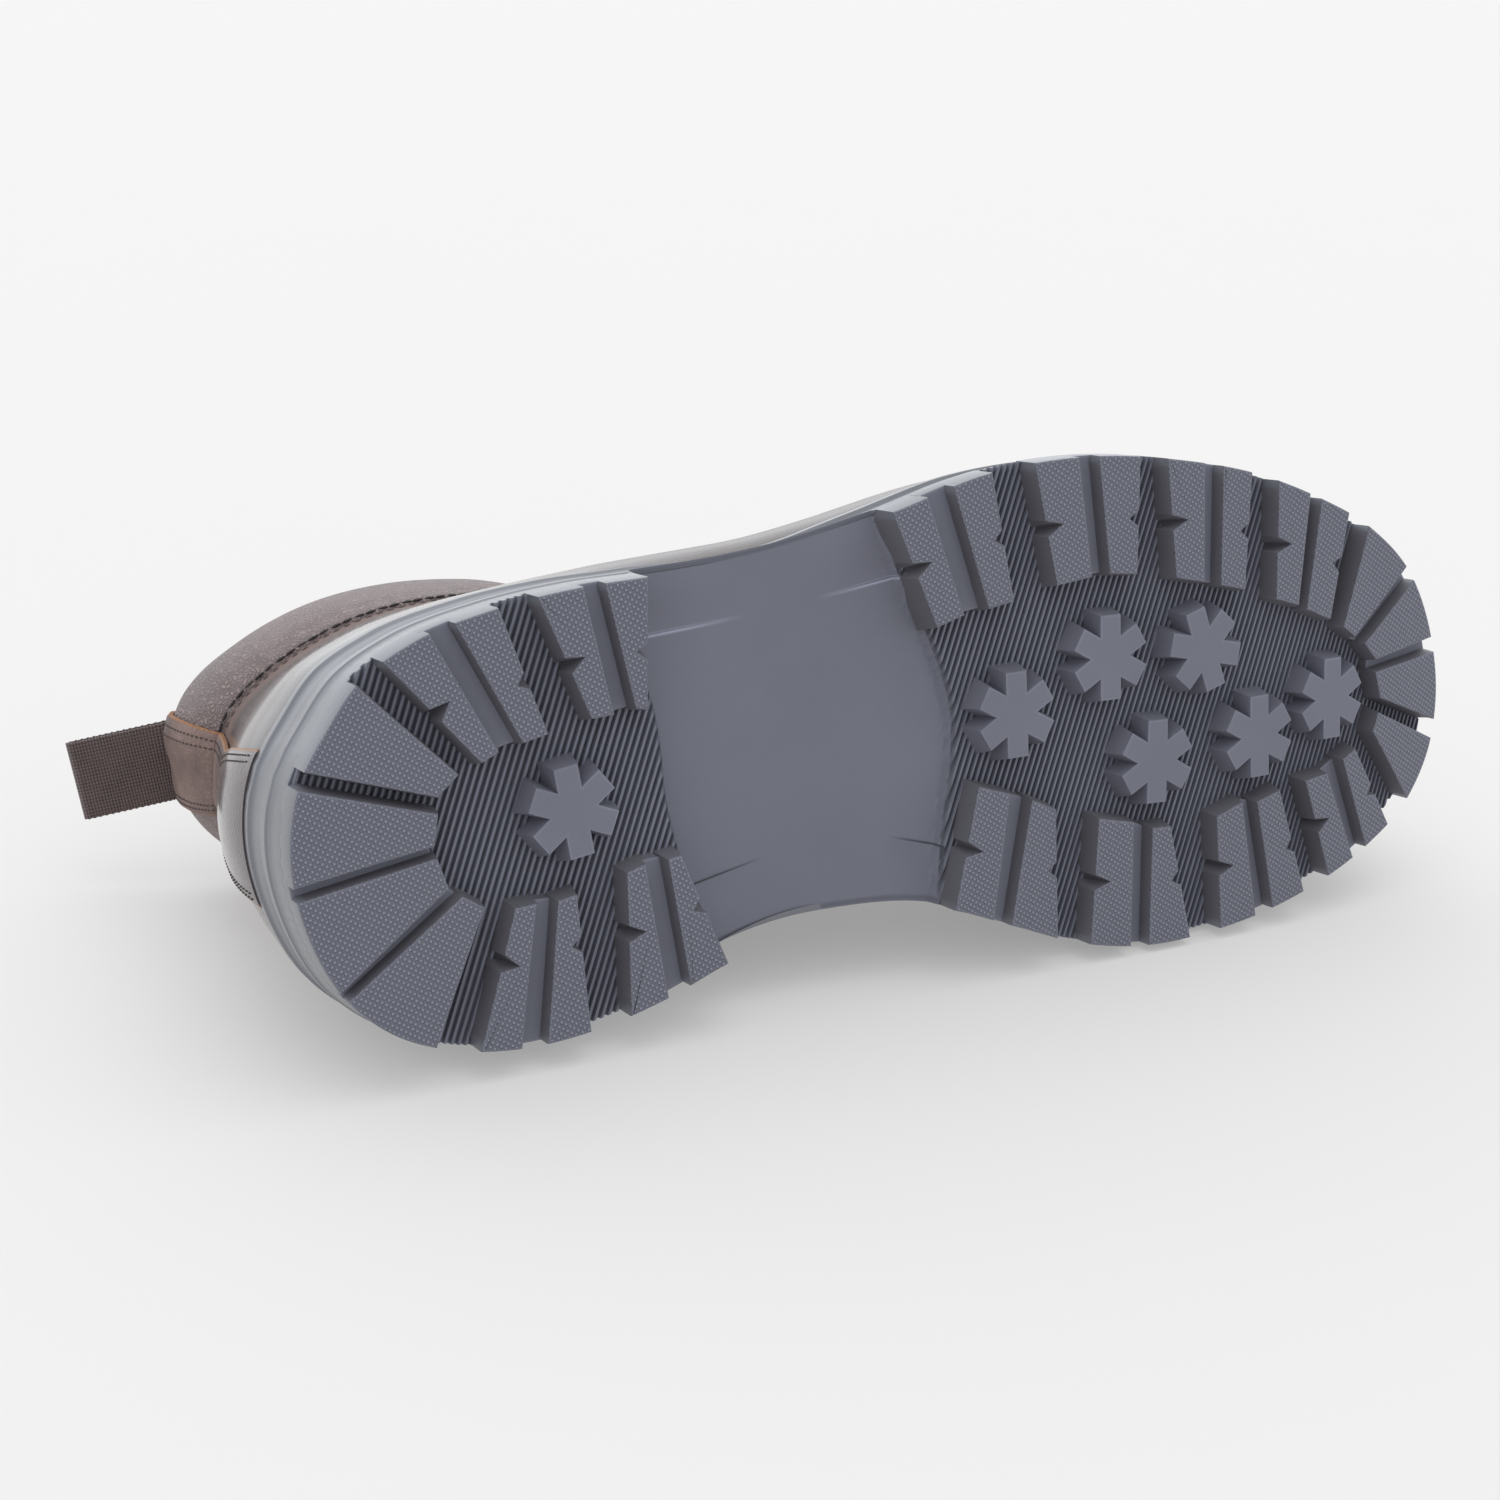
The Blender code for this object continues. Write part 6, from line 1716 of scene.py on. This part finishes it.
def throat_walks(shape, count):
    """Walk values along the two throat edges from the vamp to the collar."""
    return [np.linspace(shape.at_section(VAMP_SECTION, outer), shape.at_section(THROAT_SECTION, outer), count)
            for outer in (True, False)]


class MakeTongue(bpy.types.Operator):
    """Leather tongue under the throat, carried on past the collar"""
    bl_idname = "boot.make_tongue"
    bl_label = "Tongue"

    def execute(self, context):
        shape = UpperShape(SolePlan())
        depth = UPPER_WALL + TONGUE_CLEAR
        sides = [[shape.frame(walk, up) for up in TONGUE_LINES] for walk in throat_walks(shape, TONGUE_ROWS)]
        outer, inner = ([point - normal * depth for point, normal in side] for side in sides)
        up = unit(sides[0][-1][1] + sides[1][-1][1])
        centre = (outer[-1] + inner[-1]) / 2 + up * TONGUE_CROWN
        near = np.stack(outer + [centre] + inner[::-1], axis=1)
        middle = near.shape[1] // 2
        vamp = unit(np.diff(shape.point(np.zeros(2), np.array(VAMP_SPAN[::-1])), axis=0)[0])
        front = near[:1] + vamp * TONGUE_FORWARD - up[0] * TONGUE_DROP
        rise = unit(near[-1, middle] - near[-3, middle])
        rise = unit(rise * TONGUE_TURN[0] + np.array([0, 0, TONGUE_TURN[1]]))
        across = unit(near[-1, middle + 1] - near[-1, middle - 1])
        face = np.cross(across, rise)
        face = face * np.sign(np.dot(face, up[-1]))
        spread = np.linspace(-1, 1, near.shape[1])
        ends = [near[-1, middle] + rise * distance + across * (spread * half)[:, None]
                - face * (spread ** 2 * TONGUE_CROWN)[:, None] for distance, half in TONGUE_END]
        rows, columns = TONGUE_FINE
        near = np.concatenate([front, near, np.array(ends)])
        near = through(through(near, rows).swapaxes(0, 1), columns).swapaxes(0, 1)
        lift = face_normals(near)
        lift *= np.sign(np.sum(lift[rows // 2, columns // 2] * up[len(up) // 2]))
        spread = np.abs(np.linspace(-1, 1, columns))[None]
        length = np.linspace(0, 1, rows)[:, None]
        rim, side, end = TONGUE_RIM
        rounded = np.maximum(ease((spread - 1 + side) / side), ease((length - 1 + end) / end))
        rounded = rounded[..., None] * rim
        reach = np.linspace(0, path_length(near[:, columns // 2]), rows)
        sheet = sheet_grid(reach, np.linspace(-TONGUE_HALF_SHEET, TONGUE_HALF_SHEET, columns))
        shell = Shell()
        shell.plate(near - lift * rounded, near - lift * (TONGUE_THICK - rounded), sheet)
        leather = bpy.data.materials["brown_leather"]
        shell.build("tongue_leather", leather, ["tongue"], "brown_leather")
        return {"FINISHED"}


def facing_plate(shape, walk):
    """Plate of one facing over the upper, along a throat edge and down from it, with rounded rims."""
    walk, down = np.meshgrid(walk, np.linspace(FACING_WIDTH, 0.0, FACING_FINE[1]), indexing="ij")
    share = np.linspace(0, 1, FACING_FINE[0])[:, None]
    width, end = FACING_RIM
    edge = np.maximum(ease(1 - down / width), ease((down - FACING_WIDTH + width) / width))
    edge = np.maximum(edge, np.maximum(ease(1 - share / end), ease((share - 1 + end) / end)))
    far, _ = shape.above(walk, down, FACING_TOP - EDGE_DROP * edge)
    near, _ = shape.above(walk, down, FACING_SEAT)
    shell = Shell()
    sheet = np.stack([walk / SHEET_WALK, down / SHEET_MM], axis=-1)
    shell.plate(far, near, sheet, shine=np.full_like(edge, 1 - SHINE_LOSS))
    return shell


def eyelet_rings(shape, walk):
    """Grids of the eyelets' points: a rounded square profile turned about each eyelet's axis."""
    turn = turns(EYELET_PROFILE)
    width = (EYELET_OUTER - EYELET_INNER) / 2
    out, high = (np.sign(wave) * np.abs(wave) ** EYELET_ROUNDING for wave in (np.cos(turn), np.sin(turn)))
    radius = (EYELET_OUTER + EYELET_INNER) / 2 + width * out
    height = EYELET_THICK / 2 * (1 + high)
    angle = turns(EYELET_SEGMENTS)
    middles, normals = shape.above(walk, EYELET_FROM_EDGE, FACING_TOP + EYELET_SEAT)
    first = unit(np.cross(normals, ACROSS_BOOT))
    second = np.cross(normals, first)
    away = first[:, None] * np.cos(angle)[None, :, None] + second[:, None] * np.sin(angle)[None, :, None]
    return (middles[:, None, None] + away[:, :, None] * radius[None, None, :, None]
            + normals[:, None, None] * height[None, None, :, None])


class MakeFacings(bpy.types.Operator):
    """Facings along the throat edges with their stitching and eyelets"""
    bl_idname = "boot.make_facings"
    bl_label = "Facings and eyelets"

    def execute(self, context):
        sizes = sizes_in_mm(context)
        colours = context.scene.boot_colours
        shape = UpperShape(SolePlan())
        leather = bpy.data.materials["brown_leather"]
        stitches = Shell()
        for name, walk in zip(("eyestay_outer", "eyestay_inner"), throat_walks(shape, FACING_FINE[0])):
            shell = facing_plate(shape, walk)
            shell.build(name + "_leather", leather, [name], "brown_leather", LEATHER_CREASE)
            for inset in FACING_STITCH_INSETS:
                path, lift = shape.above(walk[STITCH_TRIM:-STITCH_TRIM], inset, FACING_TOP + STITCH_SEAT)
                stitch_row(stitches, path, lift, sizes["stitch_length"], sizes["stitch_gap"],
                           sizes["stitch_radius"])
        sew(stitches, "facing_stitches", "facing_thread", colours.thread)
        metal = metal_finish(colours)
        quads = grid_quads(EYELET_SEGMENTS + 1, EYELET_PROFILE, closed=True)
        quads = quads % (EYELET_SEGMENTS * EYELET_PROFILE)
        for side, walk in zip(("outer", "inner"), eyelet_walks(shape)):
            for number, ring in enumerate(eyelet_rings(shape, walk), 1):
                shell = Shell()
                shell.add(ring, [quads])
                shell.build("eyelet_ring_%s_%d" % (side, number), metal, ["eyelet_%s_%d" % (side, number)],
                            "eyelet_metal")
        return {"FINISHED"}


def eyelet_walks(shape):
    """Walk values of the eyelets, outer and inner ones, from the vamp to the collar."""
    return [walk[1:-1] for walk in throat_walks(shape, EYELET_PAIRS + 2)]


def lace_tube(shell, stops):
    """Round cord through stops: a cubic curve through them by distance, with a slightly flattened ring of
    points round it."""
    stops = np.array(stops)
    knots = reaches(stops)
    at = np.linspace(0.0, knots[-1], LACE_STEPS)
    path = np.stack([smooth(at, knots, stops[:, axis]) for axis in range(3)], axis=1)
    along = unit(np.gradient(path, axis=0))
    side = unit(np.cross(along, OVER_INSTEP))
    lift = np.cross(side, along)
    angle = turns(LACE_SIDES)
    rings = path[:, None] + LACE_RADIUS * (np.cos(angle)[None, :, None] * side[:, None] * LACE_FLATTEN
                                           + np.sin(angle)[None, :, None] * lift[:, None] / LACE_FLATTEN)
    sheet = np.stack(np.meshgrid(at / SHEET_MM, angle / (2 * math.pi), indexing="ij"), axis=-1)
    shell.tube(rings, sheet)


class MakeLace(bpy.types.Operator):
    """Lace across the throat, from the bar at the vamp to the top eyelets"""
    bl_idname = "boot.make_lace"
    bl_label = "Lace"

    def execute(self, context):
        shape = UpperShape(SolePlan())
        cord = lace_finish(context.scene.boot_colours)
        outer, inner = eyelet_walks(shape)

        def stops(walk, places, step=0.0):
            """Points over the upper, at shares of a step along the walk."""
            return [shape.above(walk + share * step, down, height)[0] for share, down, height in places]

        shell = Shell()
        lace_tube(shell, stops(outer[0], LACE_BAR_STOPS) + stops(inner[0], LACE_BAR_STOPS[::-1]))
        shell.build("lace_bar_cord", cord, ["lace_bar"], "lace_cord")
        for k in range(EYELET_PAIRS - 1):
            shell = Shell()
            for parting, (near, far) in zip(LACE_PARTING, ((outer, inner), (inner, outer))):
                *start, before = stops(near[k], LACE_START_STOPS, near[k + 1] - near[k])
                after, *end = stops(far[k], LACE_END_STOPS, far[k + 1] - far[k])
                lift = shape.frame(near[k], 1.0)[1] + shape.frame(far[k], 1.0)[1]
                middle = (before + after) / 2 + unit(lift) * LACE_RADIUS * parting
                lace_tube(shell, start + [middle] + end)
            number = k + 1
            shell.build("lace_cross_cord_%d" % number, cord, ["lace_cross_%d" % number], "lace_cord")
        return {"FINISHED"}


class MakeStage(bpy.types.Operator):
    """Pale floor, soft studio light and the camera"""
    bl_idname = "boot.make_stage"
    bl_label = "Stage"

    def execute(self, context):
        scene = context.scene
        mesh = bpy.data.meshes.new("floor")
        corners = ((-1, -1), (1, -1), (1, 1), (-1, 1))
        mesh.from_pydata([(x * FLOOR_REACH, y * FLOOR_REACH, 0) for x, y in corners], [], [(0, 1, 2, 3)])
        mesh.materials.append(floor_finish(scene.boot_colours))
        floor = bpy.data.objects.new("floor", mesh)
        scene.collection.objects.link(floor)
        sky = Finish("studio", bpy.data.worlds, "Background")
        scene.world = sky.material
        _, back, high = sky.split(sky.add("TexCoord", give="Generated"))
        all_round, behind, overhead = STUDIO_GLOW
        glow = all_round + back.most(0.0) * behind + high.most(0.0) * overhead
        sky.set(Color=STUDIO_TINT, Strength=glow)
        lamp = bpy.data.lights.new("overhead", "SUN")
        lamp.energy = OVERHEAD_POWER
        lamp.angle = math.radians(OVERHEAD_SPREAD)
        light = bpy.data.objects.new("overhead", lamp)
        light.rotation_euler = Vector(OVERHEAD_FROM).to_track_quat("Z", "Y").to_euler()
        scene.collection.objects.link(light)
        lens = bpy.data.cameras.new("camera")
        lens.lens = CAMERA_LENS
        lens.sensor_width = CAMERA_SENSOR
        lens.clip_start = CAMERA_NEAR
        camera = bpy.data.objects.new("camera", lens)
        axes = REST_TURN @ np.stack([CAMERA_RIGHT, -np.array(CAMERA_DOWN), -np.array(CAMERA_FORWARD)], axis=1)
        camera.matrix_world = Matrix.Translation(laid(CAMERA_PLACE)) @ Matrix(axes.tolist()).to_4x4()
        scene.collection.objects.link(camera)
        scene.camera = camera
        scene.view_settings.view_transform = "Standard"
        return {"FINISHED"}


PIECES = (MakeStage, MakeOutsole, MakeUpper, MakeCollar, MakeBackstay, MakePullLoop, MakeInsole, MakeTongue,
          MakeFacings, MakeLace)


class BootPanel(bpy.types.Panel):
    """Lists the boot's pieces and colours"""
    bl_idname = "VIEW3D_PT_boot"
    bl_label = "Ankle boot"
    bl_space_type = "VIEW_3D"
    bl_region_type = "UI"
    bl_category = "Boot"

    def draw(self, context):
        for piece in PIECES:
            self.layout.operator(piece.bl_idname)
        for group in (context.scene.boot_sizes, context.scene.boot_colours):
            for name in type(group).__annotations__:
                self.layout.prop(group, name)


CLASSES = (BootSizes, BootColours) + PIECES + (BootPanel,)


def register():
    for item in CLASSES:
        bpy.utils.register_class(item)
    bpy.types.Scene.boot_sizes = PointerProperty(type=BootSizes)
    bpy.types.Scene.boot_colours = PointerProperty(type=BootColours)


def unregister():
    del bpy.types.Scene.boot_colours
    del bpy.types.Scene.boot_sizes
    for item in reversed(CLASSES):
        bpy.utils.unregister_class(item)


def main():
    register()
    for piece in PIECES:
        group, name = piece.bl_idname.split(".")
        getattr(getattr(bpy.ops, group), name)()


if __name__ == "__main__":
    main()
